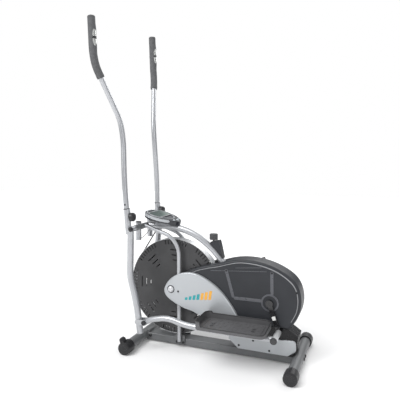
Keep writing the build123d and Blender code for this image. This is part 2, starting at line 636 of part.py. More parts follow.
# ================= the brake =================
HOUSING = [(-34, 540), (8, 549), (16, 520), (29, 462), (10, 455), (-44, 510)]
KNOB_X, KNOB_Z0, KNOB_Z1, KNOB_R, KNOB_STEM_R = -24.0, 549.5, 577.0, 20.5, 5.0
SADDLE_HALF, CHEEK_R = 9.0, 15.5
with BuildPart() as tension_housing:
    plate(HOUSING, -18, 18, corner=2)
    tube(ARCH_3D, ARCH_R + FIXED, mode=Mode.SUBTRACT)
    # only its middle reaches down round the arch; its cheeks end above the tube
    for _, side in SIDES:
        for spot, other in zip(ARCH[2:4], ARCH[3:5]):
            link(spot, CHEEK_R, other, CHEEK_R, side * SADDLE_HALF, side * 20, mode=Mode.SUBTRACT)
    turned((BASE_X + KNOB_X, 0, KNOB_Z0 + 10), (0, 0, -1),
           [(0, 0), (0, KNOB_STEM_R + RUN), (30, KNOB_STEM_R + RUN), (30, 0)], mode=Mode.SUBTRACT)
tension_housing.part = tension_housing.part.solids().sort_by(SortBy.VOLUME)[-1]
finish(tension_housing, "tension_housing")

with BuildPart() as tension_knob:
    with BuildSketch(Plane.XY.offset(KNOB_Z0)) as knob_face:
        with Locations((BASE_X + KNOB_X, 0)):
            Circle(KNOB_R)
            with PolarLocations(KNOB_R + 1.4, 16):
                Circle(3, mode=Mode.SUBTRACT)
    extrude(amount=KNOB_Z1 - KNOB_Z0)
    with BuildSketch(Plane.XY.offset(KNOB_Z0)):
        with Locations((BASE_X + KNOB_X, 0)):
            Circle(KNOB_STEM_R)
    extrude(amount=-14)
finish(tension_knob, "tension_knob")

with BuildPart() as brake_strap:
    with BuildSketch(side_plane(STRAP_HALF_W)) as strap:
        with Locations((BASE_X + WHEEL_X, WHEEL_Z)):
            Circle(STRAP_R + STRAP_T / 2)
            Circle(STRAP_R - STRAP_T / 2, mode=Mode.SUBTRACT)
        middle_angle = (STRAP_ON + STRAP_OFF) / 2
        open_part = [WHEEL] + [on_wheel(2 * STRAP_R, a) for a in (STRAP_OFF, middle_angle, STRAP_ON)]
        with BuildLine():
            Polyline(*base_x(open_part), close=True)
        make_face(mode=Mode.SUBTRACT)
    extrude(strap.sketch, amount=2 * STRAP_HALF_W)
    for spot, angle in ((STRAP_FRONT, STRAP_ON), (STRAP_REAR, STRAP_OFF)):
        touch = [on_wheel(STRAP_R + k * STRAP_T / 2, angle) for k in (-1, 1)]
        a = math.radians(angle)
        shift = (math.cos(a) * STRAP_T / 2, math.sin(a) * STRAP_T / 2)
        end = [(spot[0] + k * shift[0], spot[1] + k * shift[1]) for k in (1, -1)]
        plate([touch[0], touch[1], end[0], end[1]], STRAP_HALF_W, -STRAP_HALF_W)
        plate([(spot[0] + u, spot[1] + w) for u, w in ((-9, -9), (9, -9), (9, 9), (-9, 9))],
              -9, 9, corner=3)
    tube(ARCH_3D, ARCH_R + FIXED, mode=Mode.SUBTRACT)
finish(brake_strap, "brake_strap")

# ================= the console =================
TILT = math.radians(CONSOLE_TILT)
CONSOLE = (BASE_X - 292, 0, 646)
CONSOLE_SHAPE = [(-95, 0), (-89.6, 33.3), (-73.5, 60.5), (-48.9, 79), (-26.7, 85), (0.5, 82.5),
                 (22, 77), (47, 62), (72, 40.7), (89.3, 18.5), (95, 0)]
BEZEL_SHAPE = [(-90, 0), (-84.5, 31), (-69, 57), (-47, 73), (-26, 79), (-4, 74.5), (16, 62),
               (36, 42), (50, 20), (55, 0)]


def console_plane(height):
    """A level of the console: x runs down towards the user and y to the user's right."""
    up = Vector(math.sin(TILT), 0, math.cos(TILT))
    return Plane(origin=Vector(*CONSOLE) + up * height,
                 x_dir=(math.cos(TILT), 0, -math.sin(TILT)), z_dir=up)


def mirrored_outline(points, share=1.0):
    """A closed smooth outline from its right half, drawn in towards its middle."""
    middle = (points[0][0] + points[-1][0]) / 2
    half = [(middle + share * (x - middle), share * y) for x, y in points]
    with BuildLine() as outline:
        Spline(*half, *[(x, -y) for x, y in reversed(half[1:-1])], periodic=True)
    return outline


BUTTONS = (("left", 69, -27.5, 32), ("middle", 75, 0, 90), ("right", 69, 27.5, -32))
BUTTON_LENGTH, BUTTON_WIDTH = 14.0, 9.0
CONSOLE_TOP, CONSOLE_BOTTOM = 8.0, -15.0
GLASS = (-31, 0, 65.5, 125)     # middle along, middle across, length, width
with BuildPart() as console_body:
    shape = mirrored_outline(CONSOLE_SHAPE)
    with BuildSketch(console_plane(CONSOLE_BOTTOM)) as shell:
        make_face(shape.edges())
    extrude(shell.sketch, amount=CONSOLE_TOP - CONSOLE_BOTTOM)
    faces = console_body.faces().filter_by(GeomType.PLANE)
    fillet(faces.sort_by(Axis.Z)[-1].edges(), 4)
    with BuildSketch(console_plane(CONSOLE_TOP - 3)) as recess:
        make_face(mirrored_outline(BEZEL_SHAPE).edges())
    extrude(recess.sketch, amount=6, mode=Mode.SUBTRACT)
    with BuildSketch(console_plane(CONSOLE_TOP - 6)) as glass_seat:
        with Locations((GLASS[0], GLASS[1])):
            RectangleRounded(GLASS[2] + 0.4, GLASS[3] + 0.4, 3)
    extrude(glass_seat.sketch, amount=6, mode=Mode.SUBTRACT)
    for _, u, v, turn in BUTTONS:
        with BuildSketch(console_plane(CONSOLE_TOP - 7)) as well:
            with Locations((u, v)):
                SlotOverall(BUTTON_LENGTH + 0.6, BUTTON_WIDTH + 0.6, rotation=turn + 90)
        extrude(well.sketch, amount=12, mode=Mode.SUBTRACT)
    tube(ARCH_3D, ARCH_R + FIXED, mode=Mode.SUBTRACT)
    plate([(-335.2, 600), (-251.8, 600), (-251.8, 621.3), (-335.2, 641.3)], -14.1, 14.1,
          mode=Mode.SUBTRACT)
finish(console_body, "console_body")

with BuildPart() as console_bezel:
    with BuildSketch(console_plane(CONSOLE_TOP - 2.9)) as ring:
        make_face(mirrored_outline(BEZEL_SHAPE, 0.997).edges())
        make_face(mirrored_outline(BEZEL_SHAPE, 0.92).edges(), mode=Mode.SUBTRACT)
    extrude(ring.sketch, amount=5)
    with BuildSketch(console_plane(CONSOLE_TOP - 6)) as glass_room:
        with Locations((GLASS[0], GLASS[1])):
            RectangleRounded(GLASS[2] + 0.8, GLASS[3] + 0.8, 3)
    extrude(glass_room.sketch, amount=16, mode=Mode.SUBTRACT)
finish(console_bezel, "console_bezel")

with BuildPart() as console_display:
    with BuildSketch(console_plane(CONSOLE_TOP - 5.9)) as glass:
        with Locations((GLASS[0], GLASS[1])):
            RectangleRounded(GLASS[2], GLASS[3], 3)
    extrude(glass.sketch, amount=6.5)
finish(console_display, "console_display")

for name, u, v, turn in BUTTONS:
    with BuildPart() as button:
        with BuildSketch(console_plane(CONSOLE_TOP - 5)) as button_face:
            with Locations((u, v)):
                SlotOverall(BUTTON_LENGTH, BUTTON_WIDTH, rotation=turn + 90)
        extrude(button_face.sketch, amount=7.5)
        fillet(button.faces().sort_by(Axis.Z)[-1].edges(), 1.2)
    finish(button, f"console_button_{name}")

WIRE_R = 1.5
WIRE = [(-392.5, -52.5, 541), (-386, -42, 546), (-376, -24, 562), (-367, -8, 584.6)]
with BuildPart() as pulse_wire:
    tube([(BASE_X + x, y, z) for x, y, z in WIRE], WIRE_R)
finish(pulse_wire, "pulse_wire")

# ================= the swinging arms =================
SOCKET = [(-22.5, 0, -26), (-26.8, 0, 96)]
LOWER_TUBE = [(-10, 0, 2), (-25, 0, -235), (-6, 0, -310), (10, 0, -400), (19, 0, -514)]
HANDLEBAR = [(-23.5, 0, 0), (-35, 1, 215), (-45, -23, 425), (-55.5, -20.2, 520),
             (-113.6, 81.5, 767), (-122.5, 84, 835), (-128.5, 75, 985)]
SOCKET_R, LOWER_R, HANDLEBAR_R, GRIP_R = 15.0, 16.0, 12.5, 18.2
GRIP_START = 0.78         # where on its slanting run the handlebar goes into the grip
SENSOR_SPAN, SENSOR_R = (58, 118), 20.0   # measured down from the handlebar's end
CLAMP_Z, CLAMP_R = 57.4, 21.0
CLEVIS = (14, -454)
EYE_R, BOLT_SHAFT_R = 14.0, 5.0
CLEVIS_IN, CLEVIS_OUT = (134.4, 138.0), (169.2, 172.8)


def along(start, end, share):
    return tuple(a + (b - a) * share for a, b in zip(start, end))


for name, side in SIDES:
    spots = [arm_point(side, x, out, z) for x, out, z in HANDLEBAR]
    lean_dir = Vector(math.cos(LEAN[side]), 0, -math.sin(LEAN[side]))
    with BuildPart() as swing_arm:
        tube([arm_point(side, *p) for p in SOCKET], SOCKET_R)
        tube([arm_point(side, *p) for p in LOWER_TUBE], LOWER_R)
        disc(PIVOT, side * 76, side * 168, 13)
        for y0, y1 in (CLEVIS_IN, CLEVIS_OUT):
            link(JOINT[side], EYE_R, arm_xz(side, *CLEVIS), 12, side * y0, side * y1)
        tube(spots[:2], HANDLEBAR_R + FIXED, mode=Mode.SUBTRACT)
        disc(PIVOT, side * 60, side * 180, PIVOT_R + RUN, mode=Mode.SUBTRACT)
        disc(JOINT[side], side * 120, side * 180, BOLT_SHAFT_R + FIXED, mode=Mode.SUBTRACT)
        clamp = Vector(*arm_point(side, -26, 0, CLAMP_Z))
        turned(clamp, lean_dir, [(0, 0), (0, 5 + RUN), (30, 5 + RUN), (30, 0)], mode=Mode.SUBTRACT)
    finish(swing_arm, f"swing_arm_{name}")

    radii = bend_radii(spots)
    with BuildPart() as handlebar:
        tube(spots, HANDLEBAR_R, wall=TUBE_WALL, radii=radii)
    finish(handlebar, f"handlebar_{name}")

    grip_line = [along(spots[3], spots[4], GRIP_START), *spots[4:6]]
    last = Vector(*spots[6])
    last_dir = (last - Vector(*spots[5])).normalized()
    top = tuple(last + last_dir * 9)
    with BuildPart() as grip:
        tube([*grip_line, top], GRIP_R, radii=radii[3:])
        tube([*grip_line, tuple(last + last_dir * 0.1)], HANDLEBAR_R + FIXED, radii=radii[3:],
             mode=Mode.SUBTRACT)
        fillet(grip.edges().filter_by(GeomType.CIRCLE).sort_by(Axis.Z)[-1], 5)
    finish(grip, f"grip_{name}")

    with BuildPart() as pulse_sensor:
        tube([tuple(last - last_dir * s) for s in SENSOR_SPAN], SENSOR_R)
        tube([tuple(last - last_dir * s) for s in (SENSOR_SPAN[0] - 1, SENSOR_SPAN[1] + 1)],
             GRIP_R + FIXED, mode=Mode.SUBTRACT)
    finish(pulse_sensor, f"pulse_sensor_{name}")

    with BuildPart() as clamp_knob:
        turned(clamp, lean_dir,
               [(13.2, 0), (13.2, 5), (16.2, 5), (16.2, 17), (19, CLAMP_R), (33, CLAMP_R),
                (38.5, 17), (41, 10), (42, 0)])
    finish(clamp_knob, f"clamp_knob_{name}")

    with BuildPart() as pivot_bolt:
        disc(JOINT[side], side * 128.5, side * 177, BOLT_SHAFT_R)
        disc(JOINT[side], side * 128.5, side * (CLEVIS_IN[0] - 0.1), 8)
        disc(JOINT[side], side * (CLEVIS_OUT[1] + 0.1), side * 179, 11.5)
    finish(pivot_bolt, f"arm_joint_bolt_{name}")

# ================= the pedal arms =================
PEDAL_PATH = [(JOINT[-1][0] - 2, JOINT[-1][1] - 1), (-285, 167), (-200, 186), (-110, 162),
              (PIN[-1][0] - 6, PIN[-1][1])]
PEDAL_R, BUSH_R, BUSH_IN, BUSH_OUT, PIN_R = 14.0, 13.0, 66.5, 168.0, 6.0
EYE_IN, EYE_OUT = 138.4, 168.8
TRAY_X0, TRAY_X1, TRAY_Z, TRAY_TOP = -34.0, 286.0, 182.0, 218.0
TRAY_MID = (TRAY_X0 + TRAY_X1) / 2
TRAY_SUPPORTS = ((8, 48), (200, 240))
TRAY_WALL = 4.0
TOE_LENGTH, RIM_IN, RIM_OUT = 30.0, 211.0, 196.0


def tray_plane(side, z):
    """A level of the foot tray: x is measured as for the left side, and turns with the arm."""
    x0, z0 = pedal_xz(side, 0, z)
    x1, z1 = pedal_xz(side, 1, z)
    up = (-(z1 - z0), 0, x1 - x0)
    return Plane(origin=(BASE_X + x0, 0, z0), x_dir=(x1 - x0, 0, z1 - z0), z_dir=up)


for name, side in SIDES:
    path = [pedal_xz(side, *p) for p in PEDAL_PATH]
    with BuildPart() as pedal_arm:
        tube(side_tube_points(path, side * ARM_Y), PEDAL_R)
        disc(JOINT[side], side * EYE_IN, side * EYE_OUT, EYE_R)
        disc(PIN[side], side * BUSH_IN, side * BUSH_OUT, BUSH_R)
        for x0, x1 in TRAY_SUPPORTS:
            corners = [pedal_xz(side, x, z)
                       for x, z in ((x0, 162), (x1, 162), (x1, TRAY_Z - 0.1), (x0, TRAY_Z - 0.1))]
            plate(corners, side * 136, side * 172)
        disc(JOINT[side], side * 130, side * 175, BOLT_SHAFT_R + RUN, mode=Mode.SUBTRACT)
        disc(PIN[side], side * 60, side * 175, PIN_R + FIXED, mode=Mode.SUBTRACT)
    finish(pedal_arm, f"pedal_arm_{name}")

    with BuildPart() as foot_tray:
        middle = (TRAY_MID, side * (TRAY_IN + TRAY_OUT) / 2)
        size = (TRAY_X1 - TRAY_X0, TRAY_OUT - TRAY_IN)
        with BuildSketch(tray_plane(side, TRAY_Z)) as outside:
            with Locations(middle):
                RectangleRounded(*size, 28)
        extrude(outside.sketch, amount=TRAY_TOP - TRAY_Z)
        with BuildSketch(tray_plane(side, TRAY_Z + TRAY_WALL)) as inside:
            with Locations(middle):
                RectangleRounded(size[0] - 2 * TRAY_WALL, size[1] - 2 * TRAY_WALL, 24)
        extrude(inside.sketch, amount=TRAY_TOP, mode=Mode.SUBTRACT)
        # the rim falls from the inner side to a low lip along the outer side
        level = tray_plane(side, 0)
        across = Plane(origin=level.from_local_coords((TRAY_X0 + TOE_LENGTH, 0, 0)),
                       x_dir=(0, 1, 0), z_dir=level.x_dir)
        with BuildSketch(across) as above_rim:
            with BuildLine():
                Polyline((side * (TRAY_IN - 5), RIM_IN), (side * (TRAY_OUT + 5), RIM_OUT),
                         (side * (TRAY_OUT + 5), 260), (side * (TRAY_IN - 5), 260), close=True)
            make_face()
        extrude(above_rim.sketch, amount=TRAY_X1 - TRAY_X0, mode=Mode.SUBTRACT)
    finish(foot_tray, f"foot_tray_{name}")

    with BuildPart() as pedal_bolts:
        disc(PIN[side], side * (BUSH_IN + 0.5), side * 172, PIN_R)
        disc(PIN[side], side * (BUSH_OUT + 0.1), side * 172.5, 15.5)
        disc(PIN[side], side * 172.5, side * 174.5, 9)
        for x0, x1 in TRAY_SUPPORTS:
            with BuildSketch(tray_plane(side, TRAY_Z + TRAY_WALL + 0.05)) as heads:
                with Locations(((x0 + x1) / 2, side * 142), ((x0 + x1) / 2, side * 166)):
                    Circle(7)
            extrude(heads.sketch, amount=2.5)
    finish(pedal_bolts, f"pedal_bolts_{name}")
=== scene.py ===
"""Looks for the elliptical trainer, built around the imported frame. Metres, Z up, floor at z = 0.
The user stands at the rear, +x, and faces -x; left is -y."""
import json
import math

import bmesh
import bpy
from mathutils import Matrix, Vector


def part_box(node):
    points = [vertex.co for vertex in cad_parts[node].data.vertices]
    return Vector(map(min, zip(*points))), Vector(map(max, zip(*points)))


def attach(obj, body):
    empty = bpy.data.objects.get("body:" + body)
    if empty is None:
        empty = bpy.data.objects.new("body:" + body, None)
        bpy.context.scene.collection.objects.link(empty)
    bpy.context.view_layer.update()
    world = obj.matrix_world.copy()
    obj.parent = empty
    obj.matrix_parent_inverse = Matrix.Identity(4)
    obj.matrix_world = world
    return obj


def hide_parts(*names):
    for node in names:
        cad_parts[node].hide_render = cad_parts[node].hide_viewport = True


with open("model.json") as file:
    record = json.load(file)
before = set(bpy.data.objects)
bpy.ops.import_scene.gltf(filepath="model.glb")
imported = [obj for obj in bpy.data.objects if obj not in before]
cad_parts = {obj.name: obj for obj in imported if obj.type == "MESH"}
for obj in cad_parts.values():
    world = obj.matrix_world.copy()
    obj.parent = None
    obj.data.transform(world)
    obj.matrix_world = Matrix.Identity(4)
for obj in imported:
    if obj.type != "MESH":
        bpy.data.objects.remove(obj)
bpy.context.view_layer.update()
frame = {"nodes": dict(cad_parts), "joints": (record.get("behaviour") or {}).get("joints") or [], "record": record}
JOINTS = {joint["name"]: joint for joint in frame["joints"]}
SIDES = (("left", -1), ("right", 1))
MM = 0.001


def add_object(name, data):
    """A new object, linked to the scene."""
    obj = bpy.data.objects.new(name, data)
    bpy.context.scene.collection.objects.link(obj)
    return obj


# ------------------------------------------------------------------ materials
NOISE_ROUGHNESS = 0.55
SOCKETS = {"colour": "Base Color", "metal": "Metallic", "rough": "Roughness", "normal": "Normal",
           "coat": "Coat Weight", "coat_rough": "Coat Roughness", "sheen": "Sheen Weight",
           "specular": "Specular IOR Level", "glow_colour": "Emission Color",
           "glow": "Emission Strength"}


class Nodes:
    """A short way to write the nodes of a material or a world."""

    def __init__(self, owner):
        owner.use_nodes = True
        self.nodes, self.links = owner.node_tree.nodes, owner.node_tree.links
        self.shader = self.nodes.get("Principled BSDF")
        self.coords = self.add("ShaderNodeTexCoord").outputs

    def add(self, kind, inputs=(), **values):
        """A new node; inputs maps a socket to a plain value or to the output that feeds it."""
        node = self.nodes.new(kind)
        for key, value in values.items():
            setattr(node, key, value)
        for key, value in dict(inputs).items():
            self.feed(value, node.inputs[key])
        return node

    def feed(self, value, target):
        if isinstance(value, bpy.types.NodeSocket):
            self.links.new(value, target)
        else:
            target.default_value = value

    def noise(self, scale, detail=3.0, stretch=(1, 1, 1)):
        mapping = self.add("ShaderNodeMapping", {"Scale": stretch, "Vector": self.coords["Object"]})
        return self.add("ShaderNodeTexNoise", {
            "Scale": scale, "Detail": detail, "Roughness": NOISE_ROUGHNESS,
            "Vector": mapping.outputs["Vector"]}).outputs["Fac"]

    def ramp(self, value, stops):
        """Colours by value; stops are (position, colour), in order."""
        node = self.add("ShaderNodeValToRGB", {"Fac": value})
        elements = node.color_ramp.elements
        elements[0].position, elements[0].color = stops[0][0], (*stops[0][1], 1)
        elements[1].position, elements[1].color = stops[-1][0], (*stops[-1][1], 1)
        for position, colour in stops[1:-1]:
            elements.new(position).color = (*colour, 1)
        return node.outputs["Color"]

    def span(self, value, low, high, start=0.3, end=0.7, **values):
        """Maps start..end, by default the middle of a noise, to low..high."""
        return self.add("ShaderNodeMapRange", {
            "Value": value, "From Min": start, "From Max": end, "To Min": low, "To Max": high},
            **values).outputs["Result"]

    def combine(self, operation, *numbers):
        """One number from several."""
        return self.add("ShaderNodeMath", enumerate(numbers), operation=operation).outputs["Value"]

    def bump(self, height, distance):
        return self.add("ShaderNodeBump", {"Height": height, "Distance": distance,
                                           "Strength": 1.0}).outputs["Normal"]

    def set(self, **values):
        """Sets or feeds the shader's inputs."""
        for key, value in values.items():
            self.feed(value, self.shader.inputs[SOCKETS[key]])


def shade(colour, factor):
    """A darker or a lighter colour."""
    return tuple(min(1.0, channel * factor) for channel in colour)


def surface(name, colour, rough, metal=0.0, coat=0.0, mottle=0.08, mottle_scale=14.0,
            grain_scale=900.0, grain=0.00004, rough_spread=0.08, specular=0.5):
    """A finish with a faint mottle, an uneven gloss and a fine grain."""
    material = bpy.data.materials.new(name)
    m = Nodes(material)
    m.set(colour=m.ramp(m.noise(mottle_scale, 4.0),
                        [(0.3, shade(colour, 1 - mottle)), (0.7, shade(colour, 1 + mottle))]),
          rough=m.span(m.noise(mottle_scale * 4, 5.0), rough - rough_spread, rough + rough_spread),
          normal=m.bump(m.noise(grain_scale, 2.0), grain), metal=metal, coat=coat,
          specular=specular)
    if coat:
        m.set(coat_rough=0.12)
    return material


def weave(name, colour, pitch):
    """A woven strap: crossing threads, about pitch metres apart, with a little fuzz."""
    material = bpy.data.materials.new(name)
    m = Nodes(material)
    # the bands of a wave texture come about 0.31 / scale apart
    waves = [m.add("ShaderNodeTexWave", {"Scale": 1 / pitch / 3, "Distortion": 0.4,
                                         "Vector": m.coords["Object"]},
                   wave_type="BANDS", bands_direction=direction).outputs["Fac"]
             for direction in ("X", "Y")]
    threads = m.combine("MULTIPLY", *waves)
    m.set(colour=m.ramp(threads, [(0.0, shade(colour, 0.6)), (1.0, shade(colour, 1.7))]),
          normal=m.bump(threads, 0.0004), rough=0.85, sheen=0.2)
    return material


def brushed(name, colour, rough, scale=260.0):
    """Bright metal with fine turning or drawing lines."""
    material = bpy.data.materials.new(name)
    m = Nodes(material)
    lines = m.noise(scale, 3.0, (1, 12, 1))
    m.set(colour=m.ramp(m.noise(20, 4.0), [(0.3, shade(colour, 0.88)), (0.7, shade(colour, 1.06))]),
          rough=m.span(lines, rough - 0.07, rough + 0.1), normal=m.bump(lines, 0.00003), metal=1.0)
    return material


SILVER = surface("silver_paint", (0.48, 0.49, 0.51), 0.34, metal=0.6, coat=0.3, mottle=0.02,
                 mottle_scale=9, grain_scale=1500, grain=0.000015, rough_spread=0.02)
GREY = surface("grey_paint", (0.175, 0.18, 0.185), 0.45, metal=0.3, coat=0.1, mottle=0.05,
               grain_scale=1200, rough_spread=0.04)
BLACK_METAL = surface("black_metal", (0.022, 0.022, 0.025), 0.35, metal=0.3, coat=0.2, mottle=0.15)
STEEL = brushed("zinc_steel", (0.56, 0.57, 0.58), 0.32)
BUSH_METAL = surface("bush_plate", (0.80, 0.81, 0.82), 0.32, metal=0.35, coat=0.4, mottle=0.02,
                     grain=0.00001, rough_spread=0.02)
CHARCOAL = surface("charcoal_plastic", (0.031, 0.033, 0.038), 0.42, specular=0.34,
                   grain_scale=1100, rough_spread=0.04)
GLOSS_BLACK = surface("lower_cover_plastic", (0.009, 0.009, 0.010), 0.26, mottle=0.1,
                      specular=0.34, rough_spread=0.03)
FAN = surface("fan_plastic", (0.045, 0.045, 0.047), 0.5, mottle=0.14, grain_scale=800,
              grain=0.00008)
SILVER_PLASTIC = surface("silver_plastic", (0.47, 0.49, 0.51), 0.30, metal=0.3, coat=0.3,
                         mottle=0.015, mottle_scale=6, grain_scale=1800, grain=0.00001,
                         rough_spread=0.015)
TRAY = surface("tray_plastic", (0.104, 0.104, 0.108), 0.5, mottle=0.10, grain_scale=500,
               grain=0.00012)
RIM = surface("tray_rim_plastic", (0.030, 0.030, 0.032), 0.42, mottle=0.10, grain_scale=700)
FOAM = surface("foam", (0.122, 0.124, 0.128), 0.88, mottle=0.16, mottle_scale=70, grain_scale=700,
               grain=0.0004, specular=0.25)
BLACK = surface("black_plastic", (0.020, 0.020, 0.022), 0.38, mottle=0.15, grain=0.00006)
NAVY = surface("console_plastic", (0.010, 0.012, 0.020), 0.22, mottle=0.12, coat=0.5,
               grain_scale=1400, grain=0.00003)
PALE = surface("pale_plastic", (0.62, 0.68, 0.72), 0.22, mottle=0.03, coat=0.5)
PALE_DOME = surface("dome_plastic", (0.66, 0.67, 0.69), 0.2, metal=0.25, mottle=0.02, coat=0.6,
                    grain=0.00001, rough_spread=0.02)
REFLECTOR = surface("reflector", (0.80, 0.80, 0.78), 0.18, mottle=0.05, coat=0.8, grain_scale=260,
                    grain=0.0003)
PLATE_METAL = brushed("pulse_plate_metal", (0.60, 0.61, 0.59), 0.34, 300)
CRANK_BLACK = surface("crank_black", (0.03, 0.03, 0.032), 0.16, metal=0.6, coat=0.6, mottle=0.1)
CROSS = surface("cross_tube_paint", (0.20, 0.21, 0.215), 0.45, metal=0.3, mottle=0.06,
                grain_scale=1200)
SMOKE = surface("channel_plastic", (0.085, 0.088, 0.10), 0.32, coat=0.2)
STRAP = weave("strap_weave", (0.016, 0.016, 0.018), 0.0014)
CABLE = surface("cable_sheath", (0.018, 0.018, 0.018), 0.5, mottle=0.1)
KNOB_GREY = surface("knob_plastic", (0.060, 0.061, 0.064), 0.42, mottle=0.1)
# a lighter grey for the bead that paints the highlight along the covers' rounded edge
HIGHLIGHT_BEAD = surface("painted_highlight_plastic", (0.25, 0.255, 0.265), 0.22, mottle=0.05, coat=0.5)
DISPLAY_INK = surface("display_ink", (0.012, 0.018, 0.018), 0.3, mottle=0.1)
DISPLAY_FRAME = surface("display_frame", (0.20, 0.21, 0.22), 0.35, mottle=0.05, coat=0.2)

FINISHES = {
    "silver_paint": SILVER, "grey_paint": GREY, "black_metal": BLACK_METAL, "steel": STEEL,
    "charcoal_plastic": CHARCOAL, "fan_plastic": FAN,
    "silver_plastic": SILVER_PLASTIC, "tray_plastic": TRAY, "foam": FOAM,
    "sensor_plate": PLATE_METAL, "black_plastic": BLACK, "button_plastic": PALE,
    "reflector": REFLECTOR, "strap": STRAP, "cable": CABLE,
}
# nodes whose finish isn't the usual one of their slot
OWN_FINISHES = {
    "console_body": NAVY, "cross_tube": CROSS, "tension_knob": KNOB_GREY, "foot_brackets": GREY,
    "lower_cover": GLOSS_BLACK, "crank_arm_left": CRANK_BLACK, "crank_arm_right": CRANK_BLACK,
    "cover_screws": BLACK_METAL, "arm_joint_bolt_left": BLACK_METAL,
    "arm_joint_bolt_right": BLACK_METAL, "pedal_bolts_left": KNOB_GREY,
    "pedal_bolts_right": KNOB_GREY,
}


def dress(node, material):
    """Gives a CAD node its material."""
    materials = frame["nodes"][node].data.materials
    materials.clear()
    materials.append(material)


for part in frame["record"]["subparts"]:
    if part["material_slot"] in FINISHES:
        dress(part["node"], FINISHES[part["material_slot"]])
for own_node, own_finish in OWN_FINISHES.items():
    dress(own_node, own_finish)


# ------------------------------------------------------------------ mesh helpers
SHARP_ANGLE = math.radians(38)


def piece(name, verts, faces, material, body, slot, smooth=True):
    """A new visible piece that rides on a body; slot, the record's name for its finish, is not used."""
    mesh = bpy.data.meshes.new(name)
    mesh.from_pydata([tuple(v) for v in verts], [], faces)
    mesh.validate()
    bm = bmesh.new()
    bm.from_mesh(mesh)
    bmesh.ops.recalc_face_normals(bm, faces=bm.faces)
    bm.to_mesh(mesh)
    bm.free()
    for polygon in mesh.polygons:
        polygon.use_smooth = smooth
    obj = add_object(name, mesh)
    mesh.materials.append(material)
    if smooth:
        mesh.set_sharp_from_angle(angle=SHARP_ANGLE)
    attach(obj, body)
    return obj


def frames_along(points):
    """A turning-free pair of side directions at each point of a line."""
    tangents = []
    for i in range(len(points)):
        ahead = points[min(i + 1, len(points) - 1)]
        behind = points[max(i - 1, 0)]
        tangents.append((ahead - behind).normalized())
    side = tangents[0].orthogonal().normalized()
    out = []
    for tangent in tangents:
        side = (side - tangent * side.dot(tangent)).normalized()
        out.append((side, tangent.cross(side)))
    return out


def ring_faces(rings, segments):
    """Quads that join each ring of vertices to the next."""
    faces = []
    for ring in range(rings - 1):
        for k in range(segments):
            n = (k + 1) % segments
            a, b = ring * segments, (ring + 1) * segments
            faces.append((a + k, a + n, b + n, b + k))
    return faces


def swept(points, radii, segments):
    """Vertices and faces of a round bar with a radius at each point, closed at both ends."""
    verts = []
    for point, radius, (side, other) in zip(points, radii, frames_along(points)):
        for k in range(segments):
            a = 2 * math.pi * k / segments
            verts.append(point + (side * math.cos(a) + other * math.sin(a)) * radius)
    faces = ring_faces(len(points), segments)
    faces.append(tuple(reversed(range(segments))))
    last = (len(points) - 1) * segments
    faces.append(tuple(last + k for k in range(segments)))
    return verts, faces


def rounded_line(corners, radii, step):
    """Points along straight runs joined by arcs of the given radii."""
    points = [corners[0]]
    for before, here, after, radius in zip(corners, corners[1:], corners[2:], radii):
        run_in, run_out = (here - before).normalized(), (after - here).normalized()
        turn = run_in.angle(run_out)
        reach = radius * math.tan(turn / 2)
        start = here - run_in * reach
        inward = (run_out - run_in * run_out.dot(run_in)).normalized()
        count = max(2, int(radius * turn / step))
        for i in range(count + 1):
            a = turn * i / count
            points.append(start + run_in * radius * math.sin(a)
                          + inward * radius * (1 - math.cos(a)))
    points.append(corners[-1])
    return resampled(points, step)


def resampled(points, step):
    """The same line with its points evenly spaced, about a step apart."""
    lengths = [0.0]
    for a, b in zip(points, points[1:]):
        lengths.append(lengths[-1] + (b - a).length)
    count = max(2, round(lengths[-1] / step))
    out, i = [], 0
    for k in range(count + 1):
        s = lengths[-1] * k / count
        while i < len(points) - 2 and lengths[i + 1] < s:
            i += 1
        gap = lengths[i + 1] - lengths[i]
        out.append(points[i].lerp(points[i + 1], (s - lengths[i]) / gap if gap else 0))
    return out


BEND_SHARE = 0.45              # of the shorter run beside a corner, taken up by its bend


def bend_radii(points):
    """The radius of the bend at each inner corner of a line."""
    radii = []
    for before, here, after in zip(points, points[1:], points[2:]):
        turn = (here - before).angle(after - here)
        shorter = min((here - before).length, (after - here).length)
        radii.append(BEND_SHARE * shorter / math.tan(turn / 2))
    return radii


def merged(parts):
    """One list of vertices and one of faces from several pairs of them."""
    verts, faces = [], []
    for part_verts, part_faces in parts:
        base = len(verts)
        verts += list(part_verts)
        faces += [tuple(base + i for i in face) for face in part_faces]
    return verts, faces


def slab(outline, place, low, high, bevel=0.0):
    """A flat-topped solid: outline is a closed line of (a, b), place turns (a, b, height) into
    space, and the top edge is drawn in by the bevel."""
    count = len(outline)
    rings = [(outline, low), (outline, high - bevel)]
    if bevel:
        rings.append((inset(outline, bevel), high))
    verts = [place(a, b, h) for ring, h in rings for a, b in ring]
    faces = [tuple(reversed(range(count))), *ring_faces(len(rings), count)]
    faces.append(tuple((len(rings) - 1) * count + k for k in range(count)))
    return verts, faces


def band(rings, place):
    """A closed band: rings of (outline, height), each joined to the next, the last to the first."""
    verts = [place(a, b, h) for ring, h in rings for a, b in ring]
    faces = ring_faces(len(rings) + 1, len(rings[0][0]))
    return verts, [tuple(i % len(verts) for i in face) for face in faces]


def inset(outline, by):
    """A closed outline moved inwards."""
    area = sum(a[0] * b[1] - b[0] * a[1] for a, b in zip(outline, outline[1:] + outline[:1]))
    sign = 1 if area > 0 else -1
    out = []
    for i, (x, y) in enumerate(outline):
        px, py = outline[i - 1]
        nx, ny = outline[(i + 1) % len(outline)]
        dx, dy = nx - px, ny - py
        size = math.hypot(dx, dy) or 1
        out.append((x - sign * dy / size * by, y + sign * dx / size * by))
    return out


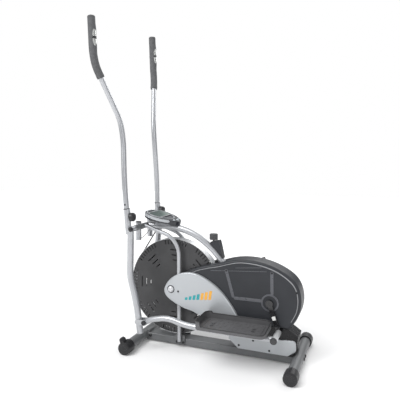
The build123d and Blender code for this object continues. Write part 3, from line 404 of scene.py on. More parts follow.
def rounded_box(width, height, radius, middle=(0, 0), lean=0.0, arc=6):
    """The outline of a rectangle with round corners, leaning sideways by a share of its height."""
    points = []
    for cx, cy, start in ((1, 1, 0), (-1, 1, 90), (-1, -1, 180), (1, -1, 270)):
        for k in range(arc + 1):
            a = math.radians(start + 90 * k / arc)
            x = cx * (width / 2 - radius) + radius * math.cos(a)
            y = cy * (height / 2 - radius) + radius * math.sin(a)
            points.append((middle[0] + x + lean * y, middle[1] + y))
    return points


def lathe(origin, direction, profile, segments=40):
    """A turned piece: profile is (mm along, mm radius)."""
    direction = direction.normalized()
    side = direction.orthogonal().normalized()
    other = direction.cross(side)
    verts = []
    for along, radius in profile:
        for k in range(segments):
            a = 2 * math.pi * k / segments
            verts.append(origin + (direction * along + (side * math.cos(a) + other * math.sin(a))
                                   * radius) * MM)
    return verts, [(a, d, c, b) for a, b, c, d in ring_faces(len(profile), segments)]


def smooth_step(x):
    """0 below 0, 1 above 1, and a smooth rise between."""
    x = max(0.0, min(1.0, x))
    return x * x * (3 - 2 * x)


# ------------------------------------------------------------------ arms and grips
# the handlebar's corners in mm from the pivot: towards the user, outwards, up
HANDLEBAR = [(-23.5, 0, 0), (-35, 1, 215), (-45, -23, 425), (-55.5, -20.2, 520),
             (-113.6, 81.5, 767), (-122.5, 84, 835), (-128.5, 75, 985)]
LOWER_JOINT = (52.1, -453.9)   # the pedal joint when the handlebar stands as listed
GRIP_START = 0.78              # the foam's foot, as a share of the way from corner 3 to corner 4
GRIP_TOP = 9                   # mm of foam past the handlebar's end
GRIP_RADIUS = 18.0
GRIP_STEP = 3.5                # mm between the foam's rings
TOP_ROUND, FOOT_ROUND = 6.5, 2.5   # mm of rounding at the foam's ends
SWELL_RISE, SWELL_FALL = (22, 36), (168, 38)   # mm: where each starts or ends, and its length
SWELL_SHIFT = 1.5              # mm that the swell leans to the user's side
PLATE_SPAN = (56, 133)         # mm down from the handlebar's end
PLATE_FACING = {-1: -20, 1: -14}   # degrees about the grip from the user's side
PLATE_HALF = math.radians(38)
PLATE_SINK, PLATE_EDGE, PLATE_RISE, BAR_RISE = -0.8, 0.5, 1.1, 1.7   # mm from the foam's skin
# BAR_HALF sets the black bars between the plates, which paint the shadow in the gap
BAR_HALF, BAR_GAP = 4.2, 5     # mm to each side of the plates' middle
SOCKET_RING = [(-2.0, 15.05), (-1.6, 15.6), (0.6, 15.7), (1.6, 15.0), (2.6, 12.9), (2.7, 12.56)]
SPRING_BUTTON = [(0, 0.01), (0, 4.6), (0.9, 4.6), (1.3, 4.2), (1.4, 3.4), (2.6, 3.2), (3.2, 2.2),
                 (3.4, 0.01)]
BUTTON_UP, BUTTON_OUT = 0.021, 0.0115   # metres from the socket's mouth


def arm_lines(side):
    """The handlebar's corner points at rest, from the pivot and the pedal joint."""
    name = "left" if side < 0 else "right"
    pivot = JOINTS[name + "_arm_swing"]["pos_m"]
    pedal = JOINTS[name + "_pedal_level"]["pos_m"]
    lean = (math.atan2(LOWER_JOINT[0], -LOWER_JOINT[1])
            - math.atan2(pedal[0] - pivot[0], pivot[2] - pedal[2]))
    c, s = math.cos(lean), math.sin(lean)
    return [Vector((pivot[0] + (x * c + z * s) * MM, pedal[1] + side * out * MM,
                    pivot[2] + (z * c - x * s) * MM)) for x, out, z in HANDLEBAR]


class Grip:
    """The foam's line and its round skin. Places along it are in mm from the handlebar's end."""

    def __init__(self, corners):
        end_dir = (corners[6] - corners[5]).normalized()
        start = corners[3].lerp(corners[4], GRIP_START)
        self.line = rounded_line([start, *corners[4:6], corners[6] + end_dir * GRIP_TOP * MM],
                                 bend_radii(corners)[3:], 0.003)
        self.length = sum((b - a).length for a, b in zip(self.line, self.line[1:])) / MM

    def centre(self, s):
        """The foam's middle, s mm down from the handlebar's end."""
        place = (self.length - GRIP_TOP - s) / self.length * (len(self.line) - 1)
        i = max(0, min(len(self.line) - 2, int(place)))
        return self.line[i].lerp(self.line[i + 1], place - i)

    def skin(self, s, angle, lift):
        """A point of the surface, which swells in the middle, with lift mm added."""
        along = (self.centre(s - 1) - self.centre(s + 1)).normalized()
        across = (Vector((1, 0, 0)) - along * along.x).normalized()
        other = along.cross(across)
        swell = (smooth_step((s - SWELL_RISE[0]) / SWELL_RISE[1])
                 * smooth_step((SWELL_FALL[0] - s) / SWELL_FALL[1]))
        middle = self.centre(s) + across * SWELL_SHIFT * swell * MM
        radius = (GRIP_RADIUS + swell + lift) * MM
        return middle + (across * math.cos(angle) + other * math.sin(angle)) * radius

    def foam(self, segments=48):
        """The whole grip: a rounded top, the swell, and a soft lip above the foot."""
        foot = self.length - GRIP_TOP
        stations = [from_top - GRIP_TOP for from_top in (0.02, 0.3, 1.2, 2.6, 4.5, 6.5)]
        stations += [-1 + GRIP_STEP * k for k in range(int((foot - 2) / GRIP_STEP))]
        stations += [foot - 1.2, foot - 0.3, foot]
        verts = []
        for s in stations:
            from_top, from_foot = s + GRIP_TOP, foot - s
            lift = 0.0
            if from_top < TOP_ROUND:
                share = (TOP_ROUND - from_top) / TOP_ROUND
                lift = -TOP_ROUND * (1 - math.sqrt(max(0.0, 1 - share ** 2)))
            if from_foot < FOOT_ROUND:
                lift = -1.6 * (1 - from_foot / FOOT_ROUND) ** 2
            lift += 0.6 * math.exp(-((from_foot - 9) / 6) ** 2)
            verts += [self.skin(s, 2 * math.pi * k / segments, lift) for k in range(segments)]
        faces = ring_faces(len(stations), segments)
        faces.append(tuple(range(segments)))
        faces.append(tuple(reversed(range(len(verts) - segments, len(verts)))))
        return verts, faces

    def patch(self, low, high, facing, half, rise, rows=16, columns=14):
        """A thin plate on the skin; half(share) is its half-angle along its length."""
        count = (rows + 1) * (columns + 1)
        verts, faces = [], []
        for layer in (0, 1):
            for i in range(rows + 1):
                for j in range(columns + 1):
                    share, t = i / rows, 2 * j / columns - 1
                    crown = (1 - t ** 4) * (1 - (2 * share - 1) ** 8)
                    lift = PLATE_SINK
                    if not layer:
                        lift += PLATE_EDGE + (rise - PLATE_SINK - PLATE_EDGE) * crown
                    verts.append(self.skin(low + (high - low) * share, facing + half(share) * t,
                                           lift))
        for i in range(rows):
            for j in range(columns):
                a = i * (columns + 1) + j
                quad = (a, a + 1, a + columns + 2, a + columns + 1)
                faces += [quad, tuple(count + v for v in reversed(quad))]
        edge = list(range(columns + 1))
        edge += [i * (columns + 1) + columns for i in range(1, rows + 1)]
        edge += [rows * (columns + 1) + j for j in range(columns - 1, -1, -1)]
        edge += [i * (columns + 1) for i in range(rows - 1, 0, -1)]
        for a, b in zip(edge, edge[1:] + edge[:1]):
            faces.append((b, a, a + count, b + count))
        return verts, faces


def grip_pieces(name, side):
    """A foam grip with two pairs of bright half-leaf plates for the pulse, and black bars between them that paint
    the shadow in the gap.
    """
    grip_shape = Grip(arm_lines(side))
    grip = piece("foam_grip_" + name, *grip_shape.foam(), FOAM, "swing_" + name, "foam")
    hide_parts("grip_" + name)

    middle = sum(PLATE_SPAN) / 2
    plates, bars = [], []
    for turn in (0, 180):
        facing = math.radians(PLATE_FACING[side] + turn)
        plates.append(grip_shape.patch(
            PLATE_SPAN[0], middle - BAR_GAP, facing,
            lambda share: PLATE_HALF * math.sqrt(max(0.002, 1 - (1 - share) ** 2)), PLATE_RISE))
        plates.append(grip_shape.patch(
            middle + BAR_GAP, PLATE_SPAN[1], facing,
            lambda share: PLATE_HALF * math.sqrt(max(0.002, 1 - share ** 2)), PLATE_RISE))
        bars.append(grip_shape.patch(middle - BAR_HALF, middle + BAR_HALF, facing,
                                     lambda share: PLATE_HALF * 1.05, BAR_RISE, rows=6))
    plate = piece("pulse_plates_" + name, *merged(plates), PLATE_METAL, "swing_" + name,
                  "sensor_plate")
    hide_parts("pulse_sensor_" + name)
    # the black bars are painted shadow in the gap between the plates
    piece("pulse_gap_shadow_" + name, *merged(bars), BLACK, "swing_" + name, "black_plastic")


def socket_pieces(name, side):
    """The dark ring where the handlebar enters the socket, and the spring button above it."""
    corners = arm_lines(side)
    bar_dir = (corners[1] - corners[0]).normalized()
    socket_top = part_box("swing_arm_" + name)[1][2]
    mouth = corners[0] + bar_dir * (socket_top - 0.0005 - corners[0].z) / bar_dir.z
    piece("socket_ring_" + name, *lathe(mouth, bar_dir, SOCKET_RING), BLACK, "swing_" + name,
          "black_plastic")
    button_dir = (Vector((0, side, 0)) - bar_dir * bar_dir.y * side).normalized()
    spot = mouth + bar_dir * BUTTON_UP + button_dir * BUTTON_OUT
    piece("spring_button_" + name, *lathe(spot, button_dir, SPRING_BUTTON), BLACK_METAL,
          "swing_" + name, "black_metal")


for side_name, side_sign in SIDES:
    grip_pieces(side_name, side_sign)
    socket_pieces(side_name, side_sign)


# ------------------------------------------------------------------ console
TILT = math.radians(14.5)
CONSOLE_TOP = 8.0
CONSOLE_UP = Vector((math.sin(TILT), 0, math.cos(TILT)))
CONSOLE_DOWN = Vector((math.cos(TILT), 0, -math.sin(TILT)))
BASE_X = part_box("base_rail")[0][0] / 2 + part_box("base_rail")[1][0] / 2
CONSOLE = Vector((BASE_X - 0.292, 0, 0.646))


def on_console(u, v, height):
    """u runs down towards the user, v to the user's right, height from the console's level."""
    return CONSOLE + (CONSOLE_DOWN * u + Vector((0, 1, 0)) * v + CONSOLE_UP * height) * MM


def display_material():
    """Grey-green liquid crystal with a painted glare that pales it towards the lower right, as a lamp's reflection
    does.
    """
    material = bpy.data.materials.new("display")
    m = Nodes(material)
    low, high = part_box("console_display")
    place = m.add("ShaderNodeSeparateXYZ", {"Vector": m.coords["Object"]}).outputs
    # painted glare: paler towards the lower right
    painted_glare = m.combine("ADD", m.span(place["Y"], 0, 0.6, low[1], high[1]),
                         m.span(place["X"], 0, 0.4, low[0], high[0]))
    m.set(colour=m.ramp(painted_glare, [(0.0, (0.035, 0.055, 0.050)), (0.6, (0.08, 0.12, 0.108)),
                                   (1.0, (0.32, 0.38, 0.35))]),
          normal=m.bump(m.noise(2500), 0.00002), rough=0.3, specular=0.2)
    return material


dress("console_display", display_material())

GLASS_TOP = CONSOLE_TOP + 0.62
INK_DEPTH = 0.08
DIGIT_LEAN = 0.14
# (u, v) of each thing on the glass, in mm from the console's middle
BIG_DIGITS, BIG_HEIGHT = ((-38, 4), (-38, 32)), 29
SMALL_DIGITS, SMALL_HEIGHT = [(-14, v) for v in (-44, -36, -27, -12, -4, 19, 50)], 8.5
DECIMAL_POINT = (-24, 17)
DISPLAY_RULES = (((-46, -42), 13, 3.2), ((-1.5, 0), 104, 0.7))   # place, width, height
GLASS_MIDDLE = (-31, 0)


def console_place(u, v):
    """Places (right, up the face, height) about a point of the console's face."""
    return lambda right, up, height: on_console(u - up, v + right, height)


def ink(outline, spot):
    """A thin flat mark on the glass."""
    return slab(outline, console_place(*spot), GLASS_TOP - INK_DEPTH, GLASS_TOP)


def zero(spot, height):
    """One italic seven-segment 0; its middle segment is dark."""
    width, bar = height * 0.52, height * 0.13
    half_h, half_w = height / 2, width / 2
    segments = [(0, half_h, True), (half_w, half_h / 2, False), (half_w, -half_h / 2, False),
                (0, -half_h, True), (-half_w, -half_h / 2, False), (-half_w, half_h / 2, False)]
    parts = []
    for x, y, flat in segments:
        half = (width if flat else half_h) / 2 - bar * 0.55
        ends = [(-half, 0), (bar / 2 - half, bar / 2), (half - bar / 2, bar / 2), (half, 0),
                (half - bar / 2, -bar / 2), (bar / 2 - half, -bar / 2)]
        if not flat:
            ends = [(across, along) for along, across in ends]
        parts.append(ink([(x + a + DIGIT_LEAN * (y + b), y + b) for a, b in ends], spot))
    return parts


def display_digits():
    """The digits, the point between them and the thin rules on the glass."""
    marks = []
    for spot in BIG_DIGITS:
        marks += zero(spot, BIG_HEIGHT)
    marks.append(ink(rounded_box(3.4, 3.4, 0.8), DECIMAL_POINT))
    for spot in SMALL_DIGITS:
        marks += zero(spot, SMALL_HEIGHT)
    for spot, width, height in DISPLAY_RULES:
        marks.append(ink(rounded_box(width, height, 0.3), spot))
    piece("display_digits", *merged(marks), DISPLAY_INK, "frame", "display_glass", smooth=False)


def display_frame():
    """The raised grey frame round the glass."""
    outer = rounded_box(139, 79.5, 6, arc=8)
    inner = rounded_box(124.2, 64.6, 3, arc=8)
    rings = [(outer, 6.2), (outer, 8.4), (inset(outer, 1.4), 9.4), (inset(inner, -1.6), 9.4),
             (inner, 8.3), (inner, 6.2)]
    piece("display_frame", *band(rings, console_place(*GLASS_MIDDLE)), DISPLAY_FRAME, "frame",
          "charcoal_plastic")


display_digits()
display_frame()


# ------------------------------------------------------------------ covers
def side_place(side):
    """Places (x, z, out) of the side view: mm from the base's middle, and out from its plane."""
    return lambda x, z, out: Vector((BASE_X + x * MM, side * out * MM, z * MM))


def hull_outline(x0, z0, x1, z1, radius, count=14):
    """A bar with two round ends."""
    a = math.atan2(z1 - z0, x1 - x0)
    points = []
    for x, z, start in ((x1, z1, a - math.pi / 2), (x0, z0, a + math.pi / 2)):
        for k in range(count + 1):
            t = start + math.pi * k / count
            points.append((x + radius * math.cos(t), z + radius * math.sin(t)))
    return points


COVER_FACE, SILVER_FACE = 50.0, 66.0   # mm out from the machine's middle
BACK_CURVE = [(15, 444), (97, 468), (160, 473), (244, 463), (322, 434), (384, 385), (407, 325),
              (403, 255), (378, 200)]
FRONT_TOP = [(-150, 388), (-98, 413), (-40, 431)]
CHANNELS = ((58, 416, 92, 296), (275, 424, 277, 330), (104, 288, 222, 289))
FINE_LINES = ((-20, 408, 250, 428), (104, 432, 226, 444))
AXLE_RING = [(50.2, 41.4), (52.2, 41.4), (52.7, 40.6), (52.7, 33.6), (52.2, 33.0), (51.2, 33.0)]
AXLE_RING_X, AXLE_RING_Z = 0.2676, 0.284
# the bead is a painted highlight: a lighter strip along the cover's rounded edge, thickest where that highlight is
# brightest
BEAD_INSET, BEAD_TOP = 14.5, 1.2       # mm in from the cover's edge, and above its face
BEAD_THIN, BEAD_EXTRA = 1.6, 2.6       # the radius at the ends, and what the swell adds
BEAD_SWELL, BEAD_SPREAD = 0.62, 0.17   # shares of its line: where it is thickest, and how wide
CURVE_STEPS = 12                       # points of a smooth line between two given ones


def bead_line(points, by):
    """A smooth line through the points, moved sideways: inwards, for a cover's edge."""
    spots = [Vector((x, 0, z)) for x, z in points]
    dense = []
    for i in range(len(spots) - 1):
        p0, p1 = spots[max(i - 1, 0)], spots[i]
        p2, p3 = spots[i + 1], spots[min(i + 2, len(spots) - 1)]
        for k in range(CURVE_STEPS):
            t = k / CURVE_STEPS
            dense.append(0.5 * ((2 * p1) + (p2 - p0) * t + (2 * p0 - 5 * p1 + 4 * p2 - p3) * t * t
                                + (3 * p1 - p0 - 3 * p2 + p3) * t ** 3))
    dense.append(spots[-1])
    out = []
    for i, point in enumerate(dense):
        ahead = dense[min(i + 1, len(dense) - 1)] - dense[max(i - 1, 0)]
        inward = Vector((ahead.z, 0, -ahead.x)).normalized()
        out.append(point + inward * by)
    return out


def cover_pieces():
    """Raised channels and fine lines on both covers, a ring round the crank, and a bright bead of lighter plastic
    that paints the highlight along each cover's rounded edge.
    """
    for name, side in SIDES:
        place = side_place(side)
        strips = [slab(hull_outline(*ends, 7.6), place, COVER_FACE, COVER_FACE + 1.75, 0.5)
                  for ends in CHANNELS]
        strips += [slab(hull_outline(*ends, 1.3), place, COVER_FACE, COVER_FACE + 1.2, 0.3)
                   for ends in FINE_LINES]
        axis = Vector((BASE_X + AXLE_RING_X, 0, AXLE_RING_Z))
        strips.append(lathe(axis, Vector((0, side, 0)), AXLE_RING, 56))
        piece("cover_channels_" + name, *merged(strips), SMOKE, "frame", "charcoal_plastic")
        # the bead: a lighter strip that paints the rounded edge's highlight, swelling where it is brightest
        spots = bead_line((FRONT_TOP if side < 0 else []) + BACK_CURVE, BEAD_INSET)
        radii = [BEAD_THIN + BEAD_EXTRA * math.exp(-((i / len(spots) - BEAD_SWELL)
                                                     / BEAD_SPREAD) ** 2)
                 for i in range(len(spots))]
        line = [place(p.x, p.z, COVER_FACE + BEAD_TOP - radius) for p, radius in zip(spots, radii)]
        piece("cover_highlight_bead_" + name, *swept(line, [radius * MM for radius in radii], 14), HIGHLIGHT_BEAD,
              "frame", "charcoal_plastic")


cover_pieces()


GRAPHIC_MIDDLE, GRAPHIC_TILT, GRAPHIC_LEAN = (-84, 281), math.radians(7), 0.28
GRAPHIC_BARS, GRAPHIC_PITCH, TEAL_BARS = 7, 20.5, 4
BAR_WIDTH, BAR_CORNER, FIRST_HEIGHT, HEIGHT_STEP, GRAPHIC_FOOT = 14.5, 3, 13, 5, -20


def cover_graphic():
    """A plain printed mark: slanted bars that rise like an effort scale, teal and then amber."""
    place = side_place(-1)
    c, s = math.cos(GRAPHIC_TILT), math.sin(GRAPHIC_TILT)
    x, z = GRAPHIC_MIDDLE
    bars = []
    for k in range(GRAPHIC_BARS):
        height = FIRST_HEIGHT + HEIGHT_STEP * k
        spot = ((k - (GRAPHIC_BARS - 1) / 2) * GRAPHIC_PITCH + GRAPHIC_LEAN * height / 2,
                height / 2 + GRAPHIC_FOOT)
        outline = [(x + a * c - b * s, z + a * s + b * c)
                   for a, b in rounded_box(BAR_WIDTH, height, BAR_CORNER, spot, GRAPHIC_LEAN)]
        bars.append(slab(outline, place, SILVER_FACE + 0.02, SILVER_FACE + 0.12))
    for name, colour, group in (("teal", (0.01, 0.33, 0.36), bars[:TEAL_BARS]),
                                ("amber", (0.86, 0.42, 0.05), bars[TEAL_BARS:])):
        piece("graphic_bars_" + name, *merged(group),
              surface(name + "_print", colour, 0.3, mottle=0.06, coat=0.3), "frame",
              "silver_plastic", smooth=False)


cover_graphic()


# how far out the seats are, and their places in the side view; the silver cover's one is left
COVER_SCREWS = (52.6, ((58, 416), (275, 424), (388, 345)))
LOWER_SCREWS = (51.3, ((122, 62), (191, 95), (268, 58)))
SILVER_SCREW = (-1, 67.2, -185, 291)
SCREW_HEAD = [(-1.2, 5.0), (-0.6, 5.2), (0.5, 4.6), (1.3, 3.2), (1.6, 1.9), (0.7, 1.2),
              (0.2, 0.01)]


def screw_pieces():
    """A dark pan head with a round recess on every cover screw."""
    spots = [(side, face, x, z) for side in (-1, 1)
             for face, places in (COVER_SCREWS, LOWER_SCREWS) for x, z in places]
    heads = []
    for side, face, x, z in [*spots, SILVER_SCREW]:
        heads.append(lathe(side_place(side)(x, z, face), Vector((0, side, 0)), SCREW_HEAD, 24))
    cover = piece("screw_heads", *merged(heads), BLACK_METAL, "frame", "steel")
    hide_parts("cover_screws")


screw_pieces()


# ------------------------------------------------------------------ crank pins and trays
CRANK_RADIUS, CRANK_PHASE = 0.1338, math.radians(19.7)


def crank_pin(side):
    """The crank pin's place at rest, in the machine's middle plane."""
    axle = JOINTS["crank_turn"]["pos_m"]
    return Vector((axle[0] - side * CRANK_RADIUS * math.sin(CRANK_PHASE), 0,
                   axle[2] + side * CRANK_RADIUS * math.cos(CRANK_PHASE)))


def pedal_slope(name, side):
    """The slope of a pedal arm at rest, from its front joint to its crank pin."""
    front, rear = JOINTS[name + "_pedal_level"]["pos_m"], crank_pin(side)
    return math.atan2(rear.z - front[2], rear.x - front[0])


def tray_frame(name, side):
    """Places (x, z, out): x and z as for the left tray, in mm from the base, and mm out from the
    machine's middle. The right tray is the left one, turned about its joint."""
    front = JOINTS[name + "_pedal_level"]["pos_m"]
    left = JOINTS["left_pedal_level"]["pos_m"]
    turn = pedal_slope(name, side) - pedal_slope("left", -1)
    c, s = math.cos(turn), math.sin(turn)

    def place(x, z, out):
        dx, dz = BASE_X + x * MM - left[0], z * MM - left[2]
        return Vector((front[0] + dx * c - dz * s, side * out * MM, front[2] + dx * s + dz * c))
    return place


TRAY_FLOOR = 186.0
TRAY_MIDDLE = (126, 152)
TREAD_COLUMNS, TREAD_START, TREAD_PITCH = 13, 12, 19.5
TREAD_ROWS = (98, 124, 150, 176, 202)
TOE_RIM, INNER_RIM = 218.0, 211.0   # the walls' top at the toe, and at the inner wall
INNER_WALL, RIM_FALL = 67, 15 / 170   # mm out from the middle, and the top's fall outwards
TOE_STEP = -7                       # where the top drops from the toe to the side walls
RIM_RADIUS = 2.7


def tray_pieces(name, side):
    """The tread's short bars, a raised border round them, and the rolled rim."""
    place = tray_frame(name, side)

    def on_floor(x, out, height):
        return place(x, TRAY_FLOOR + height, out)

    ribs = []
    for i in range(TREAD_COLUMNS):
        for j, y in enumerate(TREAD_ROWS):
            x = TREAD_START + TREAD_PITCH * i
            bar = rounded_box(4.2, 17, 2.0, (x, y), 0.5 if (i + j) % 2 else -0.5, arc=4)
            ribs.append(slab(bar, on_floor, -0.3, 1.2, 0.6))
    piece("tray_tread_" + name, *merged(ribs), TRAY, "pedal_" + name, "tray_plastic")

    border = rounded_box(268, 138, 22, TRAY_MIDDLE, arc=8)
    inside = rounded_box(263, 133, 19.5, TRAY_MIDDLE, arc=8)
    rings = [(border, -0.3), (border, 1.4), (inset(border, 0.6), 1.9), (inset(inside, -0.6), 1.9),
             (inside, 1.4), (inside, -0.3)]
    piece("tray_border_" + name, *band(rings, on_floor), TRAY, "pedal_" + name, "tray_plastic")

    # the walls' top drops behind the toe and towards the outer side, and the rim follows it
    outline = [Vector((x, y, 0)) for x, y in rounded_box(316, 156, 26, TRAY_MIDDLE, arc=8)]
    rim = []
    for spot in resampled(outline + outline[:1], 3):
        low_top = INNER_RIM - (spot.y - INNER_WALL) * RIM_FALL
        top = TOE_RIM + (low_top - TOE_RIM) * smooth_step((spot.x - TOE_STEP) / 6)
        rim.append(place(spot.x, top, spot.y))
    piece("tray_rim_" + name, *swept(rim, [RIM_RADIUS * MM] * len(rim), 12), RIM, "pedal_" + name,
          "tray_plastic")


for side_name, side_sign in SIDES:
    tray_pieces(side_name, side_sign)


# ------------------------------------------------------------------ console trim
# half of the shell's outline as (u, v), round its upper lobe
CONSOLE_SHAPE = [(-95, 0), (-89.6, 33.3), (-73.5, 60.5), (-48.9, 79), (-26.7, 85), (0.5, 82.5),
                 (22, 77), (47, 62), (60, 51)]
CONSOLE_MIDDLE_U = -20
BAND_SECTION = [(-0.6, -7.0), (1.3, -6.4), (2.2, -2.0), (2.2, 2.5), (1.5, 5.2), (-0.6, 6.6)]
BAND_TAPER = 9                 # steps over which the band thins out at each end


def console_band():
    """The bright band round the upper lobe of the console's shell."""
    half = [(p.x, abs(p.z)) for p in bead_line(CONSOLE_SHAPE, -0.3)]
    loop = [(u, -v) for u, v in reversed(half)] + half[1:]
    verts = []
    for i, (u, v) in enumerate(loop):
        ahead, behind = loop[min(i + 1, len(loop) - 1)], loop[max(i - 1, 0)]
        du, dv = ahead[0] - behind[0], ahead[1] - behind[1]
        size = math.hypot(du, dv)
        nu, nv = -dv / size, du / size
        if nu * (u - CONSOLE_MIDDLE_U) + nv * v < 0:
            nu, nv = -nu, -nv
        taper = smooth_step(min(i, len(loop) - 1 - i) / BAND_TAPER)
        for out, height in BAND_SECTION:
            out = out if out < 0 else out * taper
            verts.append(on_console(u + nu * out, v + nv * out, height * (0.25 + 0.75 * taper)))
    faces = ring_faces(len(loop), len(BAND_SECTION))
    faces.append(tuple(range(len(BAND_SECTION))))
    faces.append(tuple(reversed(range(len(verts) - len(BAND_SECTION), len(verts)))))
    piece("console_band", verts, faces, SILVER_PLASTIC, "frame", "silver_plastic")


console_band()


# ------------------------------------------------------------------ pivot, posts and pins
# turned profiles: mm along the axis, mm radius
PIVOT_SLEEVE = [(0, 13.0), (0.1, 13.5), (0.8, 13.9), (8, 13.9), (8.8, 13.5), (52, 13.5),
                (52.8, 13.9), (60.5, 13.9), (61, 13.5), (61.1, 13.0)]
POST_SLEEVE = [(-0.6, 11.5), (-0.8, 12.4), (-0.4, 14.0), (0.6, 14.5), (86, 14.5), (89.4, 14.4),
               (89.6, 14.05)]
BUSH_SPAN = (67.0, 167.8)      # mm out from the machine's middle
BUSH_LENGTH = BUSH_SPAN[1] - BUSH_SPAN[0]
PIN_SLEEVE = [(0, 12.9), (0.2, 13.4), (0.8, 13.7), (BUSH_LENGTH - 0.8, 13.7),
              (BUSH_LENGTH - 0.2, 13.4), (BUSH_LENGTH, 12.9)]
BOLT_DOME = [(-0.3, 8.6), (0.2, 8.7), (1.6, 7.6), (2.6, 5.6), (3.1, 3.0), (3.2, 0.01)]
# the thin dark ring round the cap's dome is painted shadow
CAP_SHADOW_RING = [(0.02, 19.5), (0.5, 19.3), (0.7, 18.6), (0.7, 15.5), (0.3, 14.6)]
CAP_DOME = [(0.4, 15.6), (3.4, 15.3), (5.6, 14.2), (7.6, 12.0), (9.1, 9.2), (10.1, 6.0),
            (10.6, 3.0), (10.75, 0.01)]
# metres from the base's middle, or out from the machine's middle plane
PIVOT_SLEEVE_OUT, BOLT_DOME_OUT = 0.0763, 0.1745
POST_X, POST_OUT, POST_FOOT = -0.405, 0.060, 0.532
WHEEL_AXLE_X, WHEEL_AXLE_Z = -0.224, 0.299


def pivot_pieces():
    """A sleeve on each half of the pivot shaft, and one on each upright post."""
    pivot = JOINTS["left_arm_swing"]["pos_m"]
    for name, side in SIDES:
        start = Vector((pivot[0], side * PIVOT_SLEEVE_OUT, pivot[2]))
        piece("pivot_sleeve_" + name, *lathe(start, Vector((0, side, 0)), PIVOT_SLEEVE), CROSS,
              "swing_" + name, "silver_paint")
        stub = Vector((BASE_X + POST_X, side * POST_OUT, POST_FOOT))
        piece("post_sleeve_" + name, *lathe(stub, Vector((0, 0, 1)), POST_SLEEVE), SILVER, "frame",
              "silver_paint")


def pin_bushes():
    """A bright plated sleeve over each crank pin, and the domed end of its bolt."""
    for name, side in SIDES:
        out = Vector((0, side, 0))
        start = crank_pin(side) + out * BUSH_SPAN[0] * MM
        piece("pin_sleeve_" + name, *lathe(start, out, PIN_SLEEVE, 48), BUSH_METAL, "pedal_" + name,
              "silver_paint")
        head = crank_pin(side) + out * BOLT_DOME_OUT
        piece("pin_bolt_dome_" + name, *lathe(head, out, BOLT_DOME, 40), KNOB_GREY,
              "pedal_" + name, "steel")


def axle_cap():
    """The bright domed cap on the silver cover, in a thin dark ring that paints the shadow round the dome's foot.
    """
    spot = Vector((BASE_X + WHEEL_AXLE_X, -SILVER_FACE * MM, WHEEL_AXLE_Z))
    axis = Vector((0, -1, 0))
    # the dark ring is painted shadow under the dome
    piece("axle_cap_shadow_ring", *lathe(spot, axis, CAP_SHADOW_RING), CHARCOAL, "frame", "silver_plastic")
    piece("axle_cap_dome", *lathe(spot, axis, CAP_DOME, 56), PALE_DOME, "frame", "silver_plastic")


pivot_pieces()
pin_bushes()
axle_cap()


# ------------------------------------------------------------------ pulse wire
# metres from the base's middle, from the post up to the console
WIRE_ROUTE = [(-0.3925, -0.0525, 0.541), (-0.386, -0.042, 0.546), (-0.376, -0.024, 0.562),
              (-0.367, -0.008, 0.5846)]
WIRE_RADIUS = 0.0015


def pulse_wire():
    """The short wire that hangs from the left post up to the underside of the console."""
    curve = bpy.data.curves.new("pulse_lead", "CURVE")
    curve.dimensions = "3D"
    curve.bevel_depth, curve.bevel_resolution, curve.resolution_u = WIRE_RADIUS, 4, 16
    curve.use_fill_caps = True
    spline = curve.splines.new("NURBS")
    spline.points.add(len(WIRE_ROUTE) - 1)
    for point, (x, y, z) in zip(spline.points, WIRE_ROUTE):
        point.co = (BASE_X + x, y, z, 1)
    spline.order_u = 3
    spline.use_endpoint_u = True
    curve.materials.append(CABLE)
    wire = add_object("pulse_lead", curve)
    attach(wire, "frame")
    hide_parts("pulse_wire")
    x, y, z = WIRE_ROUTE[0]


pulse_wire()


# ------------------------------------------------------------------ base trim
CAP_FACE, CAP_OUTER = 235, 31.0        # mm: the cap's flat face, and its barrel's radius
CAP_RING = [(-0.4, 24.5), (0.8, 24.2), (1.2, 23.4), (1.2, 20.4), (0.6, 19.8), (-0.4, 19.6)]
FACE_BARS, FACE_PITCH, FACE_RADIUS = 5, 6.4, 18.5
BARREL_RIBS, RIB_LENGTH, RIB_MIDDLE = 28, 34, 207


def cap_face(middle, side):
    """A stepped ring and upright bars on a cap's flat face."""
    def place(a, b, h):
        return middle + Vector((a * MM, side * (CAP_FACE + h) * MM, b * MM))

    parts = [lathe(place(0, 0, 0), Vector((0, side, 0)), CAP_RING, 56)]
    for k in range(FACE_BARS):
        across = (k - FACE_BARS // 2) * FACE_PITCH
        half = math.sqrt(FACE_RADIUS ** 2 - across ** 2)
        parts.append(slab(rounded_box(3.0, 2 * half - 3, 1.2, (across, 0), arc=3), place, -0.3, 1.0,
                          0.4))
    return parts


def cap_barrel(middle, side):
    """Ribs along a cap's round part; the gap in them is at its foot."""
    parts = []
    for k in range(BARREL_RIBS):
        a = math.radians(-60 + 300 * k / (BARREL_RIBS - 1))
        radial = Vector((math.cos(a), 0, math.sin(a)))
        around = Vector((-math.sin(a), 0, math.cos(a)))
        base = middle + radial * CAP_OUTER * MM
        parts.append(slab(rounded_box(2.2, RIB_LENGTH, 1.0, (0, RIB_MIDDLE), arc=2),
                          lambda p, q, h: base + around * p * MM + radial * h * MM
                          + Vector((0, side * q * MM, 0)), -0.2, 0.9, 0.4))
    return parts


def cap_pieces():
    """The trim of all four stabiliser caps, as one piece."""
    parts = []
    for end in ("front", "rear"):
        low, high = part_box(end + "_stabiliser")
        middle = Vector(((low[0] + high[0]) / 2, 0, (low[2] + high[2]) / 2))
        for side in (-1, 1):
            parts += cap_face(middle, side) + cap_barrel(middle, side)
    piece("cap_ribs", *merged(parts), BLACK, "frame", "black_plastic")


cap_pieces()

# ------------------------------------------------------------------ camera, light, floor
CAMERA = (BASE_X + 0.7036, -1.9901, 0.9455)
YAW, PITCH = math.radians(21.88), math.radians(5.5)
SENSOR, FOCAL_PIXELS, PHOTO_PIXELS = 36, 442.4, 400
FLOOR_HALF, FLOOR_DROP = 9, 0.0005
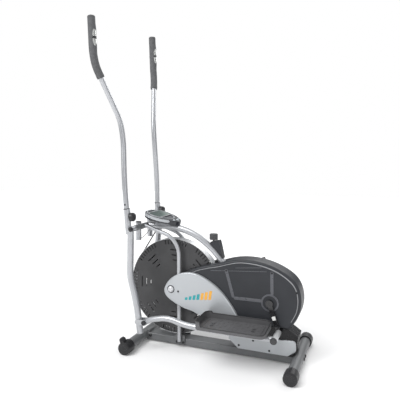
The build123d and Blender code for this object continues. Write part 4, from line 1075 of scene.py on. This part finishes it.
# the floor's painted glow, and the distances from the middle between which it rises, in metres
GLOW, GLOW_REACH = (0.06, 0.32), (0.9, 2.6)


def photo_camera():
    """A camera where the photo's was."""
    data = bpy.data.cameras.new("camera")
    data.lens = FOCAL_PIXELS / PHOTO_PIXELS * SENSOR
    data.sensor_width = SENSOR
    data.clip_end = 60
    camera = add_object("camera", data)
    camera.location = CAMERA
    camera.rotation_euler = (math.pi / 2 - PITCH, 0, YAW)
    bpy.context.scene.camera = camera


def studio_world():
    """A grey studio in light and reflections, and plain white where the camera looks past."""
    world = bpy.data.worlds.new("studio")
    w = Nodes(world)
    up = w.add("ShaderNodeSeparateXYZ", {"Vector": w.coords["Generated"]}).outputs["Z"]
    greys = w.ramp(w.combine("MULTIPLY_ADD", up, 0.5, 0.5),
                   [(0.40, (0.45, 0.46, 0.48)), (0.52, (0.22, 0.23, 0.25)),
                    (0.66, (0.80, 0.81, 0.83)), (0.95, (1.0, 1.0, 1.0))])
    studio = w.nodes["Background"]
    w.feed(greys, studio.inputs["Color"])
    studio.inputs["Strength"].default_value = 0.62
    white = w.add("ShaderNodeBackground", {"Color": (1, 1, 1, 1), "Strength": 1.0})
    mix = w.add("ShaderNodeMixShader", {
        0: w.add("ShaderNodeLightPath").outputs["Is Camera Ray"],
        1: studio.outputs["Background"], 2: white.outputs["Background"]})
    w.feed(mix.outputs["Shader"], w.nodes["World Output"].inputs["Surface"])
    bpy.context.scene.world = world


def aimed(location, target):
    """The turn that points a light from its place to a target."""
    return (Vector(target) - Vector(location)).to_track_quat("-Z", "Y").to_euler()


def area_light(name, location, target, size, power):
    """A rectangle of light, size metres wide and high, in watts."""
    data = bpy.data.lights.new(name, "AREA")
    data.shape, data.size, data.size_y = "RECTANGLE", size[0], size[1]
    data.energy = power
    light = add_object(name, data)
    light.location = location
    light.rotation_euler = aimed(location, target)


def soft_lights():
    """A broad sun for the soft shadow, and three large lights round the machine."""
    data = bpy.data.lights.new("soft_sun", "SUN")
    data.energy, data.angle = 1.3, math.radians(38)
    add_object("soft_sun", data).rotation_euler = aimed((0, 0, 0), (0.25, 0.55, -1.0))
    area_light("key", (-2.2, -3.0, 3.0), (0, 0, 0.6), (1.4, 2.4), 62)
    area_light("fill", (3.2, -2.6, 1.9), (0, 0, 0.6), (1.0, 2.6), 24)
    area_light("back", (0.8, 3.0, 2.8), (0, 0, 0.7), (3.0, 1.6), 45)


def floor_sheet():
    """A pale sheet with a painted glow that brightens it away from the machine, so that its edge doesn't show."""
    mesh = bpy.data.meshes.new("floor")
    bm = bmesh.new()
    bmesh.ops.create_grid(bm, x_segments=8, y_segments=8, size=FLOOR_HALF)
    bm.to_mesh(mesh)
    bm.free()
    floor = add_object("floor", mesh)
    floor.location = (0, 0, -FLOOR_DROP)
    paper = surface("floor_sheet", (0.90, 0.90, 0.90), 0.5, mottle=0.005, mottle_scale=0.8,
                    grain=0.0, rough_spread=0.02, specular=0.0)
    m = Nodes(paper)
    # painted glow, weak near the machine and strong far from it
    reach = m.add("ShaderNodeVectorMath", {0: m.coords["Object"]}, operation="LENGTH")
    m.set(glow_colour=(1, 1, 1, 1),
          glow=m.span(reach.outputs["Value"], *GLOW, *GLOW_REACH, interpolation_type="SMOOTHSTEP"))
    mesh.materials.append(paper)


bpy.context.scene.view_settings.view_transform = "Standard"
photo_camera()
studio_world()
soft_lights()
floor_sheet()
